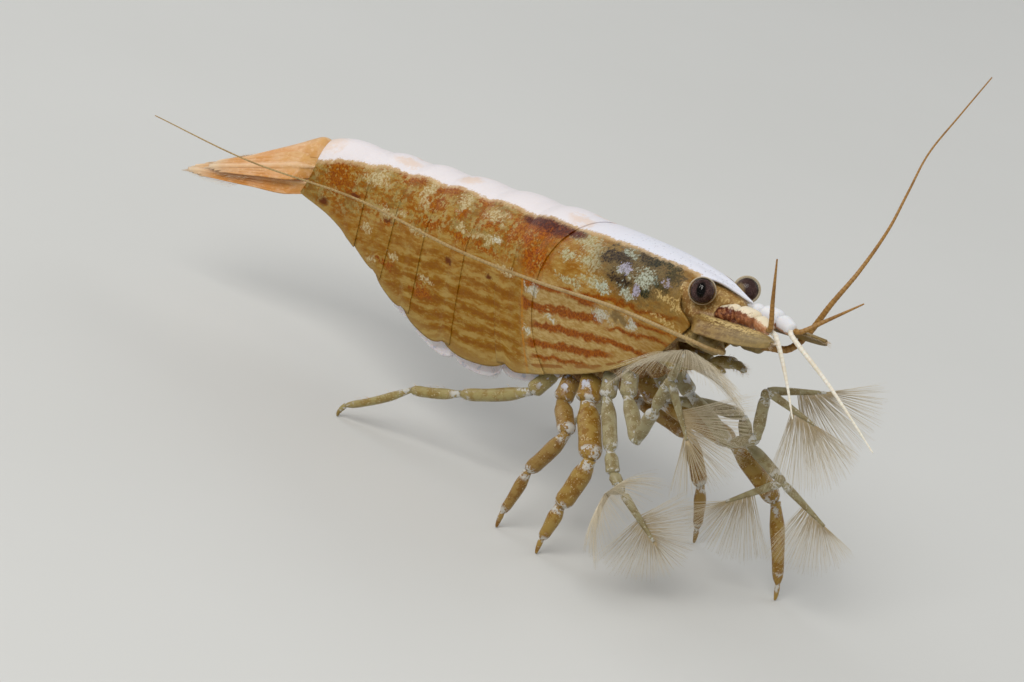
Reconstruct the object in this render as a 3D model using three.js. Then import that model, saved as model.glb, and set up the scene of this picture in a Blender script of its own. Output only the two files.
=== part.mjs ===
// Bamboo shrimp (Atyopsis moluccensis): a still, life-size model of one animal, in millimetres, +Z up.
// It stands on six legs with its four bristle fans open. The body is described in a body frame: X runs
// towards the head, Y to the animal's left and Z up, from the rear edge of the carapace on the midline
// of the back. At the end everything is pitched head-up and set down with its feet at Z = 0.
import * as THREE from 'three';

// ---------------------------------------------------------------- driving dimensions
const GAP = 0.3; // clear space between neighbouring pieces
const PITCH = THREE.MathUtils.degToRad(13); // the back slopes up towards the head by this much
const FLOOR = -26.3; // height of the floor below the body frame's origin

const CARAPACE_LENGTH = 17; // rear edge to the eye notch, along the back
const ROSTRUM_TIP = 21.6; // station of the tip of the beak between the eyes
const SHELL = 0.7; // thickness of the carapace wall
const SOMITE_LENGTHS = [6.0, 6.2, 5.7, 4.3, 4.5, 5.5]; // along the back, first to sixth
const ABDOMEN_LENGTH = SOMITE_LENGTHS.reduce((sum, length) => sum + length, 0);
const TAIL_TURN = THREE.MathUtils.degToRad(27); // the abdomen swings to the right by this at its end
const TAIL_RISE = THREE.MathUtils.degToRad(4.5); // and lifts by this

const EYE = { x: 17.9, y: 2.6, z: -2.2, radius: 1.28 };
const THINNEST = 0.5; // blades and bristle fans
const FOOT_RADIUS = 0.34; // half the width of the flat under each claw

// Profiles of the body by station s, in mm ahead of the carapace's rear edge (negative in the abdomen).
const TOP = [[-33, 0], [0, 0], [6, -0.15], [12, -0.6], [17, -1.35], [19.5, -1.9], [22, -2.6]];
const HALF_WIDTH = [
  [-33, 2.2], [-27, 3.0], [-22, 4.0], [-17, 4.7], [-10, 5.1],
  [0, 5.1], [8, 4.9], [14, 4.2], [18, 3.3], [22, 3.0],
];
const DEPTH = [
  [-33.5, 5.6], [-30, 6.8], [-26.7, 8.6], [-22, 11.6], [-18, 13.6], [-13, 15.0], [-6, 15.0],
  [0, 14.0], [8.4, 11.4], [15.8, 7.0], [18, 5.6], [22, 4.6],
];

// ---------------------------------------------------------------- small tools
const vec = (x, y, z) => new THREE.Vector3(x, y, z);
const clamp01 = (t) => Math.min(1, Math.max(0, t));
const lerp = THREE.MathUtils.lerp;
const smooth = (t) => THREE.MathUtils.smoothstep(t, 0, 1);

// A smooth curve through [station, value] pairs.
function profile(table, s) {
  const last = table.length - 1;
  if (s <= table[0][0]) return table[0][1];
  if (s >= table[last][0]) return table[last][1];
  const i = table.findIndex((pair) => pair[0] > s) - 1;
  const slope = (j) => {
    const a = table[Math.max(0, j - 1)];
    const b = table[Math.min(last, j + 1)];
    return (b[1] - a[1]) / (b[0] - a[0]);
  };
  const [s0, v0] = table[i];
  const [s1, v1] = table[i + 1];
  const h = s1 - s0;
  const t = (s - s0) / h;
  const ends = v0 * (1 + 2 * t) * (1 - t) ** 2 + v1 * t * t * (3 - 2 * t);
  return ends + h * (slope(i) * t * (1 - t) ** 2 - slope(i + 1) * t * t * (1 - t));
}

// Frame of the back at station s: straight along the carapace, turning to the right and rising slightly
// along the abdomen.
const SPINE_STEP = 0.25;
const SPINE = [vec(0, 0, 0)];
const turnAt = (q) => TAIL_TURN * (q / ABDOMEN_LENGTH) ** 1.15;
const riseAt = (q) => (TAIL_RISE * q) / ABDOMEN_LENGTH;
const forwardAt = (q) => {
  const turn = turnAt(q);
  const rise = riseAt(q);
  return vec(Math.cos(turn) * Math.cos(rise), Math.sin(turn) * Math.cos(rise), -Math.sin(rise));
};
while (SPINE.length * SPINE_STEP < ABDOMEN_LENGTH + 4) {
  const q = (SPINE.length - 0.5) * SPINE_STEP;
  SPINE.push(SPINE[SPINE.length - 1].clone().addScaledVector(forwardAt(q), -SPINE_STEP));
}

function frameAt(s) {
  if (s >= 0) return { origin: vec(s, 0, 0), forward: vec(1, 0, 0), left: vec(0, 1, 0), up: vec(0, 0, 1) };
  const forward = forwardAt(-s);
  const left = vec(0, 0, 1).cross(forward).normalize();
  const up = forward.clone().cross(left);
  const index = Math.floor(-s / SPINE_STEP);
  const origin = SPINE[index].clone().addScaledVector(forward, s + index * SPINE_STEP);
  return { origin, forward, left, up };
}

// Point at station s, y to the left and z up from the line of the back.
function bodyPoint(s, y, z) {
  const frame = frameAt(s);
  return frame.origin.addScaledVector(frame.left, y).addScaledVector(frame.up, z);
}

// Outline of the shell across the body: t = 0 on the midline of the back, 1 at the lower edge. The upper
// part is a dome, the lower part a nearly upright side that tucks in a little.
const DOME_SHARE = 0.5;
function shellOutline(s, t, depth) {
  const width = profile(HALF_WIDTH, s);
  const dome = Math.min(width * 1.15, depth * 0.6);
  if (t < DOME_SHARE) {
    const angle = ((t / DOME_SHARE) * Math.PI) / 2;
    return { y: width * Math.sin(angle), z: -dome * (1 - Math.cos(angle)) };
  }
  const side = (t - DOME_SHARE) / (1 - DOME_SHARE);
  return { y: width * (1 - 0.12 * side * side), z: -lerp(dome, depth, side) };
}

// Distance down the flank, 0 to 1, at which the outline is this far below the back.
function flankShare(s, below, depth) {
  const dome = Math.min(profile(HALF_WIDTH, s) * 1.15, depth * 0.6);
  return DOME_SHARE + (1 - DOME_SHARE) * clamp01((below - dome) / (depth - dome));
}

// Closed body between two surfaces: outer(u, v) and inner(u, v), u from 0 to 1 and v from -1 to 1.
function slab(outer, inner, uSteps, vSteps, bunch = (v) => v) {
  const points = [];
  for (const surface of [outer, inner]) {
    for (let i = 0; i <= uSteps; i += 1) {
      for (let j = 0; j <= vSteps; j += 1) points.push(surface(i / uSteps, bunch((2 * j) / vSteps - 1)));
    }
  }
  const row = vSteps + 1;
  const layer = row * (uSteps + 1);
  const at = (k, i, j) => k * layer + i * row + j;
  const faces = [];
  const quad = (a, b, c, d) => faces.push(a, b, c, a, c, d);
  for (let i = 0; i < uSteps; i += 1) {
    for (let j = 0; j < vSteps; j += 1) {
      quad(at(0, i, j), at(0, i + 1, j), at(0, i + 1, j + 1), at(0, i, j + 1));
      quad(at(1, i, j), at(1, i, j + 1), at(1, i + 1, j + 1), at(1, i + 1, j));
    }
    quad(at(0, i, 0), at(1, i, 0), at(1, i + 1, 0), at(0, i + 1, 0));
    quad(at(0, i + 1, vSteps), at(1, i + 1, vSteps), at(1, i, vSteps), at(0, i, vSteps));
  }
  for (let j = 0; j < vSteps; j += 1) {
    quad(at(0, 0, j + 1), at(1, 0, j + 1), at(1, 0, j), at(0, 0, j));
    quad(at(0, uSteps, j), at(1, uSteps, j), at(1, uSteps, j + 1), at(0, uSteps, j + 1));
  }
  return closedGeometry(points, faces);
}

// Closed tube through rings given as {centre, along, wide, thick}: an oval section with half axes wide and
// thick, wide measured along the side direction, which each ring takes over from the one before it.
function tube(rings, sides, side) {
  const points = [];
  const across = side.clone();
  for (const ring of rings) {
    const along = ring.along.clone().normalize();
    across.addScaledVector(along, -across.dot(along)).normalize();
    const other = along.clone().cross(across);
    for (let k = 0; k < sides; k += 1) {
      const angle = (2 * Math.PI * (k + 0.5)) / sides;
      const point = ring.centre.clone().addScaledVector(across, ring.wide * Math.cos(angle));
      points.push(point.addScaledVector(other, ring.thick * Math.sin(angle)));
    }
  }
  const faces = [];
  for (let i = 0; i + 1 < rings.length; i += 1) {
    for (let k = 0; k < sides; k += 1) {
      const next = (k + 1) % sides;
      const [a, b] = [i * sides + k, i * sides + next];
      faces.push(a, b, b + sides, a, b + sides, a + sides);
    }
  }
  const end = (rings.length - 1) * sides;
  for (let k = 1; k + 1 < sides; k += 1) {
    faces.push(0, k + 1, k, end, end + k, end + k + 1);
  }
  return closedGeometry(points, faces);
}

// Indexed geometry whose faces are turned outwards where they came out inside-out.
function closedGeometry(points, faces) {
  let volume = 0;
  for (let f = 0; f < faces.length; f += 3) {
    volume += points[faces[f]].dot(points[faces[f + 1]].clone().cross(points[faces[f + 2]]));
  }
  const index = volume < 0 ? faces.slice().reverse() : faces;
  const geometry = new THREE.BufferGeometry().setFromPoints(points);
  geometry.setIndex(index);
  return geometry;
}

// Rings along a jointed limb: each segment swells in its middle and narrows at its joints.
function limbRings(joints, radii) {
  const last = joints.length - 1;
  const rings = [];
  for (let i = 0; i <= last; i += 1) {
    const before = joints[i].clone().sub(joints[Math.max(0, i - 1)]).normalize();
    const after = joints[Math.min(last, i + 1)].clone().sub(joints[i]).normalize();
    rings.push({ centre: joints[i], along: before.add(after), wide: radii[i], thick: radii[i] });
    if (i < last) {
      const centre = joints[i].clone().lerp(joints[i + 1], 0.4);
      const radius = lerp(radii[i], radii[i + 1], 0.4) * 1.15;
      rings.push({ centre, along: after, wide: radius, thick: radius });
    }
  }
  return rings;
}

const limb = (joints, radii) => tube(limbRings(joints, radii), 8, vec(0.1, 1, 0.1));

// ---------------------------------------------------------------- colours
const COLOURS = {
  shell: [0xb98a55, 0.42],
  flesh: [0xc9a678, 0.55],
  eye: [0x1d1418, 0.12],
  limb: [0xc08b45, 0.45],
  bristle: [0xcfc3a8, 0.6],
  feeler: [0xa8743f, 0.5],
  pale: [0xefe9dc, 0.5],
};
const group = new THREE.Group();
function add(name, geometry, colour) {
  const [color, roughness] = COLOURS[colour];
  const mesh = new THREE.Mesh(geometry, new THREE.MeshStandardMaterial({ color, roughness, metalness: 0 }));
  mesh.name = name;
  group.add(mesh);
  return mesh;
}
const SIDES = [['right', -1], ['left', 1]];

// ---------------------------------------------------------------- edges between the plates
// Station of the joint behind plate k (0 is the carapace), by distance t down the flank.
const JOINT_STATIONS = [0];
for (const length of SOMITE_LENGTHS) JOINT_STATIONS.push(JOINT_STATIONS.at(-1) - length);
const JOINT_SWEEP = [0, 1.6, -1.0, -1.2, -1.3, -0.8, -1.6]; // how far the lower end lies ahead of the upper
const CARAPACE_LOBE = 2.3; // the carapace's side reaches this far behind its rear edge on the back
function jointStation(k, t) {
  const lobe = k === 0 ? -CARAPACE_LOBE * Math.sin(Math.PI * clamp01(t) ** 1.4) : 0;
  return JOINT_STATIONS[k] + JOINT_SWEEP[k] * t * t + lobe;
}

// ---------------------------------------------------------------- carapace and thorax
// Front edge by distance t down the flank: beak, eye notch, antennal spine and rounded lower corner.
const CARAPACE_FRONT = [
  [0, ROSTRUM_TIP], [0.09, CARAPACE_LENGTH], [0.18, 16.2], [0.38, 16.3],
  [0.5, 17.6], [0.62, 17.7], [0.8, 16.4], [1, 14.6],
];

function carapacePoint(u, v, inset) {
  const t = Math.abs(v);
  const s = lerp(jointStation(0, t), profile(CARAPACE_FRONT, t), u);
  const outline = shellOutline(s, t, profile(DEPTH, s));
  const width = profile(HALF_WIDTH, s);
  const y = outline.y * (1 - inset / width);
  const lowerEdge = clamp01((t - 0.9) / 0.1);
  return bodyPoint(s, Math.sign(v) * y, profile(TOP, s) + outline.z - inset * (1 - lowerEdge));
}

// Bunches the columns of the carapace towards the midline, where the beak is.
const bunchMiddle = (v) => Math.sign(v) * Math.abs(v) ** 1.5;
const carapaceOuter = (u, v) => carapacePoint(u, v, 0);
const carapaceInner = (u, v) => carapacePoint(u, v, SHELL);
add('carapace', slab(carapaceOuter, carapaceInner, 11, 22, bunchMiddle), 'shell');

const THORAX_LIFT = 1.9; // the underside of the thorax lies this far above the carapace's lower edge
const THORAX_SLIM = 0.82; // its half-width as a share of the space inside the carapace
function thoraxRing(s) {
  const top = profile(TOP, s) - SHELL - GAP - 0.5;
  const bottom = profile(TOP, s) - profile(DEPTH, s) + THORAX_LIFT;
  const along = vec(1, 0, 0);
  const wide = (profile(HALF_WIDTH, s) - SHELL - GAP) * THORAX_SLIM;
  return { centre: vec(s, 0, (top + bottom) / 2), along, wide, thick: (top - bottom) / 2 };
}
const thoraxRings = [0.9, 3, 6, 9, 12, 14.5, 16.3].map(thoraxRing);
// The head ahead of it lies between the eyes and the roots of the feelers.
for (const [s, wide] of [[17.0, 2.3], [18.2, 2.1]]) {
  thoraxRings.push({ centre: vec(s, 0, -4.45), along: vec(1, 0, 0), wide, thick: 0.65 });
}
add('thorax', tube(thoraxRings, 14, vec(0, 1, 0)), 'flesh');

// ---------------------------------------------------------------- abdomen
const BELLY_SHARE = 0.6; // depth of the belly between the side plates, as a share of the plates' depth
const HUMP = 0.22; // each plate bulges along its middle by this
const LOBE_ROUNDING = 0.05; // the corners of a side plate are rounded off by this share of its depth
const PLATE_EDGE = 0.55; // thickness of the side plates' lower edge

function somitePoint(k, u, v, inner) {
  const t = Math.abs(v);
  const front = jointStation(k - 1, t) - GAP;
  const s = lerp(jointStation(k, t), front, u);
  const cornered = k < 6 && !(k === 1 && u > 0.5); // the first plate's front fits the carapace's edge
  const rounding = cornered ? LOBE_ROUNDING * Math.abs(2 * u - 1) ** 3 : 0;
  const full = profile(DEPTH, s);
  const depth = full * (1 - rounding * smooth((t - 0.5) / 0.5));
  const outline = shellOutline(s, t, depth);
  const hump = HUMP * Math.sin(Math.PI * clamp01(u)) * Math.cos((t * Math.PI) / 2);
  if (!inner) return bodyPoint(s, Math.sign(v) * outline.y, profile(TOP, s) + outline.z + hump);
  const belly = -full * (k < 6 ? BELLY_SHARE : 0.95);
  const bellyEdge = flankShare(s, -belly, depth);
  const inset = shellOutline(s, Math.max(t, bellyEdge), depth).y - PLATE_EDGE;
  const y = inset * Math.min(1, t / bellyEdge);
  return bodyPoint(s, Math.sign(v) * y, profile(TOP, s) + Math.min(belly, outline.z));
}
for (let k = 1; k <= 6; k += 1) {
  const outer = (u, v) => somitePoint(k, u, v, false);
  const inner = (u, v) => somitePoint(k, u, v, true);
  add(`abdomen_${k}`, slab(outer, inner, 4, 16), 'shell');
}

// ---------------------------------------------------------------- tail fan
const TAIL = frameAt(-ABDOMEN_LENGTH);
TAIL.origin.addScaledVector(TAIL.forward, -GAP);
const TAIL_DROOP = THREE.MathUtils.degToRad(24); // the fan slopes down from the line of the back
const tailBack = TAIL.forward.clone().negate().multiplyScalar(Math.cos(TAIL_DROOP));
tailBack.addScaledVector(TAIL.up, -Math.sin(TAIL_DROOP));
const tailUp = tailBack.clone().cross(TAIL.left).negate().normalize();
if (tailUp.z < 0) tailUp.negate();
const tailPoint = (x, y, z) => TAIL.origin.clone().addScaledVector(tailBack, x)
  .addScaledVector(TAIL.left, y).addScaledVector(tailUp, z);

function telsonSurface(side) {
  return (u, v) => {
    const half = lerp(1.75, 0.75, u);
    const arch = 0.5 * (1 - v * v) * (1 - 0.4 * u);
    const thickness = lerp(1.5, THINNEST, u) * (1 - 0.45 * v * v);
    return tailPoint(0.55 + 9.0 * u, half * v, -0.2 - 0.35 * u + arch - (side ? thickness : 0));
  };
}
add('telson', slab(telsonSurface(0), telsonSurface(1), 5, 6), 'shell');

// Two fins on each side, folded like a roof under the telson, the outer one tucked under the inner.
const FIN_TILT = THREE.MathUtils.degToRad(50); // slope of both fins across the tail
const UROPODS = {
  inner: { root: 2.2, tip: 12.6, rise: 0.15, y: 0, z: 0.25, halfWidth: 1.3 },
  outer: { root: 3.0, tip: 15.2, rise: 0.26, y: -0.35, z: -1.7, halfWidth: 1.25 },
};
for (const [name, sign] of SIDES) {
  for (const [part, fin] of Object.entries(UROPODS)) {
    const surface = (side) => (u, v) => {
      const x = lerp(fin.root, fin.tip, u);
      const half = fin.halfWidth * (0.5 + 0.62 * Math.sin(Math.PI * (0.12 + 0.8 * u))) * (1 - 0.35 * u);
      const thickness = THINNEST * (side ? -0.5 : 0.5);
      const y = 2.5 - 0.065 * x + fin.y + v * half * Math.cos(FIN_TILT) + thickness * Math.sin(FIN_TILT);
      const z = fin.rise * x - 2.8 + fin.z - v * half * Math.sin(FIN_TILT) + thickness * Math.cos(FIN_TILT);
      return tailPoint(x - 0.6 * v * v * u, sign * y, z);
    };
    add(`uropod_${part}_${name}`, slab(surface(0), surface(1), 6, 4), 'shell');
  }
}

// ---------------------------------------------------------------- head
for (const [name, sign] of SIDES) {
  const centre = vec(EYE.x, sign * EYE.y, EYE.z);
  const eye = new THREE.SphereGeometry(EYE.radius, 14, 9);
  add(`eye_${name}`, eye.translate(centre.x, centre.y, centre.z), 'eye');

  const root = vec(17.1, sign * 0.75, -2.9);
  const outward = centre.clone().sub(root).normalize();
  const tip = centre.clone().addScaledVector(outward, -EYE.radius - GAP * 0.7);
  add(`eye_stalk_${name}`, tube([
    { centre: root, along: outward, wide: 0.42, thick: 0.42 },
    { centre: tip, along: outward, wide: 0.6, thick: 0.6 },
  ], 8, vec(0, 0, 1)), 'flesh');
}

// Feeler of round section through hand-placed points.
function feeler(points, rootRadius, tipRadius, steps) {
  const curve = new THREE.CatmullRomCurve3(points.map((p) => vec(...p)), false, 'centripetal');
  const rings = [];
  for (let i = 0; i <= steps; i += 1) {
    const u = i / steps;
    const along = curve.getTangentAt(u);
    const radius = lerp(rootRadius, tipRadius, u);
    rings.push({ centre: curve.getPointAt(u), along, wide: radius, thick: radius });
  }
  return tube(rings, 6, vec(0.35, 0.2, 1));
}

// Points given for the left side of the body, mirrored for the right.
const mirrored = (points, sign) => points.map(([x, y, z]) => vec(x, sign * y, z));

const ANTENNULE_STALK = [[18.6, 1.25, -4.3], [21.4, 1.35, -3.5], [23.8, 1.35, -3.5], [25.5, 1.3, -3.95]];
const ANTENNA_STALK = [[18.3, 2.3, -6.4], [20.9, 2.6, -6.6]];
const OUTER_FLAGELLA = {
  right: [[26.0, -1.7, -3.6], [26.2, -2.1, -1.3], [26.8, -2.9, 2.6]],
  left: [[26.1, 1.75, -4.0], [27.3, 3.3, -2.8], [29.5, 5.4, -0.8]],
};
const INNER_FLAGELLA = {
  right: [[26.1, -1.0, -4.4], [27.9, -0.9, -7.5], [29.1, -0.6, -10.8]],
  left: [[26.1, 1.0, -4.5], [29.7, 2.6, -7.9], [34.0, 4.6, -12.7]],
};
const ANTENNA_FLAGELLA = {
  right: [
    [21.4, -2.8, -6.6], [22.8, -4.2, -6.5], [20.6, -5.8, -5.8], [10.9, -6.3, -5.2], [1.0, -7.0, -5.2],
    [-7.6, -9.8, -4.1], [-17.3, -14.0, -1.6], [-27.8, -19.0, -0.2], [-36.3, -24.0, 2.3],
  ],
  left: [
    [21.4, 2.8, -6.5], [22.6, 4.1, -6.4], [23.6, 5.2, -4.8], [25.0, 6.0, -1.9], [25.8, 8.0, 1.2],
    [25.5, 11.0, 4.7],
    [24.8, 13.4, 7.8], [23.1, 17.0, 11.0], [22.3, 21.0, 14.3], [21.6, 25.0, 17.6],
  ],
};
for (const [name, sign] of SIDES) {
  add(`antennule_stalk_${name}`, limb(mirrored(ANTENNULE_STALK, sign), [0.7, 0.9, 0.8, 0.55]), 'limb');
  add(`antennule_outer_${name}`, feeler(OUTER_FLAGELLA[name], 0.3, 0.25, 5), 'feeler');
  add(`antennule_inner_${name}`, feeler(INNER_FLAGELLA[name], 0.32, 0.25, 6), 'pale');
  add(`antenna_stalk_${name}`, limb(mirrored(ANTENNA_STALK, sign), [0.95, 0.75]), 'limb');
  add(`antenna_${name}`, feeler(ANTENNA_FLAGELLA[name], 0.4, 0.25, 18), 'feeler');

  // Broad flat scale beside each antenna's root.
  const scale = (side) => (u, v) => {
    const half = 1.2 * (0.72 + 0.4 * Math.sin(Math.PI * (0.1 + 0.8 * u))) * (1 - 0.3 * u * u);
    const x = lerp(18.6, 27.4, u) - 0.7 * v * u;
    const z = lerp(-4.8, -4.5, u) - 0.5 * v - (side ? THINNEST : 0);
    return vec(x, sign * (3.5 + half * v * 0.85 - 0.3 * u), z);
  };
  add(`antenna_scale_${name}`, slab(scale(0), scale(1), 4, 3), 'limb');
}

const MAXILLIPED = [[12.3, 1.5, -9.3], [15.4, 2.0, -9.4], [18.6, 1.8, -8.6], [20.6, 1.2, -8.8]];
for (const [name, sign] of SIDES) {
  add(`maxilliped_${name}`, limb(mirrored(MAXILLIPED, sign), [0.7, 0.75, 0.6, 0.3]), 'limb');
}

// ---------------------------------------------------------------- walking legs
// Joints from the hip to the wrist, then where on the floor the claw stands.
const UP = vec(Math.sin(PITCH), 0, Math.cos(PITCH)); // true up, in the body frame
const floorHeight = (x) => (FLOOR - x * Math.sin(PITCH)) / Math.cos(PITCH);
const LEGS = {
  leg_3_right: [[5.2, -2.5, -12.3], [6.4, -3.8, -15.0], [10.7, -6.3, -19.0], [8.7, -7.3, -23.7], [7.0, -7.9]],
  leg_4_right: [[2.8, -2.5, -13.0], [3.4, -4.2, -15.7], [6.9, -6.1, -17.6], [4.2, -7.7, -21.7], [2.2, -8.8]],
  leg_5_right: [
    [0.4, -2.4, -13.3], [-1.1, -4.0, -15.9], [-7.6, -6.8, -17.7], [-12.2, -8.9, -18.4], [-19.0, -11.8],
  ],
  leg_3_left: [[5.2, 2.5, -12.3], [7.0, 4.0, -14.9], [13.4, 8.0, -17.4], [17.1, 10.6, -22.0], [17.8, 11.6]],
  leg_4_left: [[2.8, 2.5, -13.0], [3.6, 4.2, -15.7], [8.1, 7.4, -18.0], [8.4, 9.4, -22.8], [7.3, 10.6]],
  leg_5_left: [[0.4, 2.4, -13.3], [-0.9, 4.0, -16.1], [-5.4, 8.0, -19.0], [-8.7, 10.2, -20.8], [-14.5, 13.2]],
};
const LEG_RADII = {
  3: [0.95, 1.0, 0.9, 0.8, 0.42],
  4: [0.85, 0.8, 0.74, 0.66, 0.38],
  5: [0.8, 0.75, 0.6, 0.5, 0.36],
};
const CLAW = 1.3; // length of the last joint, which comes down on the floor

for (const [name, points] of Object.entries(LEGS)) {
  const radii = LEG_RADII[name[4]];
  const joints = points.slice(0, -1).map((p) => vec(...p));
  const [footX, footY] = points.at(-1);
  const foot = vec(footX, footY, floorHeight(footX));
  const outward = foot.clone().sub(joints.at(-1)).normalize();
  const ankle = foot.clone().addScaledVector(outward, -CLAW * 0.5).addScaledVector(UP, CLAW * 0.75);
  const rings = limbRings([...joints, ankle], radii);
  rings.push({ centre: ankle, along: outward.clone().addScaledVector(UP, -1), wide: 0.42, thick: 0.42 });
  rings.push({ centre: foot, along: UP.clone().negate(), wide: FOOT_RADIUS, thick: FOOT_RADIUS });
  add(name, tube(rings, 8, vec(1, 0.2, 0)), 'limb');
}

// ---------------------------------------------------------------- fan-bearing arms
const ARMS = {
  arm_1_right: [
    [9.8, -2.3, -10.7], [11.4, -3.6, -13.2], [15.6, -5.6, -16.2], [18.4, -6.6, -12.6], [19.7, -6.7, -10.0],
  ],
  arm_2_right: [
    [7.6, -2.4, -11.4], [8.7, -3.6, -14.0], [11.9, -5.2, -18.0], [13.2, -5.7, -19.6], [14.0, -5.6, -20.4],
  ],
  arm_1_left: [
    [9.8, 2.3, -10.7], [11.6, 3.6, -13.2], [16.0, 5.0, -16.8], [19.2, 5.2, -15.4], [19.9, 4.8, -11.4],
  ],
  arm_2_left: [
    [7.6, 2.4, -11.4], [9.4, 3.7, -14.3], [14.5, 7.6, -14.6], [15.2, 7.9, -17.0], [19.6, 8.1, -19.0],
  ],
};
const ARM_RADII = [0.75, 0.7, 0.6, 0.6, 0.5];
for (const [name, points] of Object.entries(ARMS)) {
  add(name, limb(points.map((p) => vec(...p)), ARM_RADII), 'limb');
}

// Each arm ends in two fingers, and each finger in a curtain of bristles. The finger points along `finger`.
// The bristles spring from its far half, swing from it towards `spread` between two angles in degrees, and
// are `reach` long. The curtain is a blade as thick as THINNEST, dished by a share of its reach.
const FINGER = 4.6;
const FINGER_BARE = 0.55; // share of the finger that bears no bristles
const FINGER_HALF_WIDTH = 0.42;
const FINGER_THICKNESS = 0.8;
function fan(name, arm, finger, spread, angles, reach, dish) {
  const wrist = vec(...ARMS[arm].at(-1));
  const palm = wrist.clone().sub(vec(...ARMS[arm].at(-2))).normalize();
  const along = vec(...finger).normalize();
  const across = vec(...spread).addScaledVector(along, -vec(...spread).dot(along)).normalize();
  const normal = along.clone().cross(across);
  const root = wrist.clone().addScaledVector(palm, 0.6).addScaledVector(along, 0.95);
  const [from, to] = angles.map(THREE.MathUtils.degToRad);
  const rows = 6;
  const stemRows = 2;
  const surface = (side) => (u, v) => {
    const row = u * rows;
    const centre = FINGER * FINGER_BARE * Math.min(1, row / stemRows);
    const open = (row - stemRows) / (rows - stemRows);
    const angle = lerp(from, to, (v + 1) / 2);
    const radius = open > 0 ? lerp(FINGER_HALF_WIDTH * 1.5, reach, open) : 0;
    const straight = open > 0 ? 0 : FINGER_HALF_WIDTH * v;
    const thickness = lerp(FINGER_THICKNESS, THINNEST, clamp01(open * 3)) * (side ? -0.5 : 0.5);
    const depth = (dish * radius * radius) / reach;
    return root.clone().addScaledVector(along, centre + radius * Math.cos(angle))
      .addScaledVector(across, straight + radius * Math.sin(angle))
      .addScaledVector(normal, thickness - depth);
  };
  add(name, slab(surface(0), surface(1), rows, 7), 'bristle');
}
fan('fan_1_right_upper', 'arm_1_right', [0.68, -0.4, 0.62], [-0.67, -0.77, 0.06], [-84, 76], 6.6, -0.8);
fan('fan_1_right_lower', 'arm_1_right', [0.39, 0.18, -0.9], [0.62, 0.78, 0.13], [-25, 95], 7.0, 0.16);
fan('fan_2_right_upper', 'arm_2_right', [0.55, -0.81, 0.15], [0.34, 0.5, 0.79], [-84, 65], 5.8, 0.7);
fan('fan_2_right_lower', 'arm_2_right', [0.55, 0.38, -0.75], [0.4, 0.68, 0.6], [-90, 95], 5.2, 0.16);
fan('fan_1_left_upper', 'arm_1_left', [0.48, 0.86, 0.06], [0.2, -0.1, -1.0], [-8, 90], 7.4, 0.16);
fan('fan_1_left_lower', 'arm_1_left', [0.86, 0.4, -0.4], [0.1, 0.1, -1.0], [-5, 85], 7.4, 0.16);
fan('fan_2_left_upper', 'arm_2_left', [0.6, 0.5, -0.6], [-0.4, -0.3, -0.8], [-5, 95], 5.8, 0.16);
fan('fan_2_left_lower', 'arm_2_left', [-0.6, -0.6, -0.45], [0.3, 0.3, -0.9], [-10, 90], 6.6, 0.16);

// ---------------------------------------------------------------- swimmerets
// Broad leaves hang from the belly and show below the side plates by the last figure of each pair; the first
// is half their width.
const SWIMMERETS = [[2.3, 0.8], [2.5, 1.25], [2.3, 1.25], [1.7, 0.8], [0.9, -0.3]];
SWIMMERETS.forEach(([broad, shown], i) => {
  for (const [name, sign] of SIDES) {
    const surface = (side) => (u, v) => {
      const half = broad * (0.6 + 0.4 * Math.sin(Math.PI * (0.1 + 0.7 * u)));
      const station = (JOINT_STATIONS[i] + JOINT_STATIONS[i + 1]) / 2 + 0.5 - 1.2 * u + half * v;
      const depth = profile(DEPTH, station);
      const y = profile(HALF_WIDTH, station) * (0.39 + 0.12 * u) + (side ? 0.3 : -0.3);
      return bodyPoint(station, sign * y, -lerp(depth * BELLY_SHARE + 0.5, depth + shown, u));
    };
    add(`swimmeret_${i + 1}_${name}`, slab(surface(0), surface(1), 3, 3), 'limb');
  }
});

// ---------------------------------------------------------------- standing on the floor
group.rotation.y = -PITCH;
group.updateMatrixWorld(true);
const box = new THREE.Box3().setFromObject(group, true);
group.position.set(-(box.min.x + box.max.x) / 2, -(box.min.y + box.max.y) / 2, -box.min.z);

export default group;
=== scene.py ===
"""The looks of the bamboo shrimp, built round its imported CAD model.

Lengths are in millimetres in the body frame unless a line says otherwise: X runs towards the head, Y to
the animal's left and Z up, from the rear edge of the carapace on the midline of the back. to_world() turns
them into the row's frame, in metres. The body's dimensions repeat those of the CAD source.
"""

import math

import bpy
import numpy as np
from mathutils import Matrix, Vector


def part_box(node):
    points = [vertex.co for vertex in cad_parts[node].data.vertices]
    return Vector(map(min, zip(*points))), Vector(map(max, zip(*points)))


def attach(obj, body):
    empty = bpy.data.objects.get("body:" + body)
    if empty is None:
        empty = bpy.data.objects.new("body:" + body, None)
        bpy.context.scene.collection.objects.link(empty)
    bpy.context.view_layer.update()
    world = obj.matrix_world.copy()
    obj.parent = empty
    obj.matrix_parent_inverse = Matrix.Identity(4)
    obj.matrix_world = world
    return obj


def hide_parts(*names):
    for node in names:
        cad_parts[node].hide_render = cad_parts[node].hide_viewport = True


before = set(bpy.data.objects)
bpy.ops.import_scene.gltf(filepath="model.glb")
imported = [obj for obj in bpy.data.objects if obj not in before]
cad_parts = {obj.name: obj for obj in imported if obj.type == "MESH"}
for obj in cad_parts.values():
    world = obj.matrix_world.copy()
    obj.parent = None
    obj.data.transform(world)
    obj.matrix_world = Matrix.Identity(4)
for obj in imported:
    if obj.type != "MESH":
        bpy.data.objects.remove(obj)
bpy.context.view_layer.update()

# ---- driving dimensions
MM = 0.001
PITCH = math.radians(13)
FLOOR = -26.3
CARAPACE_LENGTH = 17.0
ROSTRUM_TIP = 21.6
SOMITE_LENGTHS = (6.0, 6.2, 5.7, 4.3, 4.5, 5.5)
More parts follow.
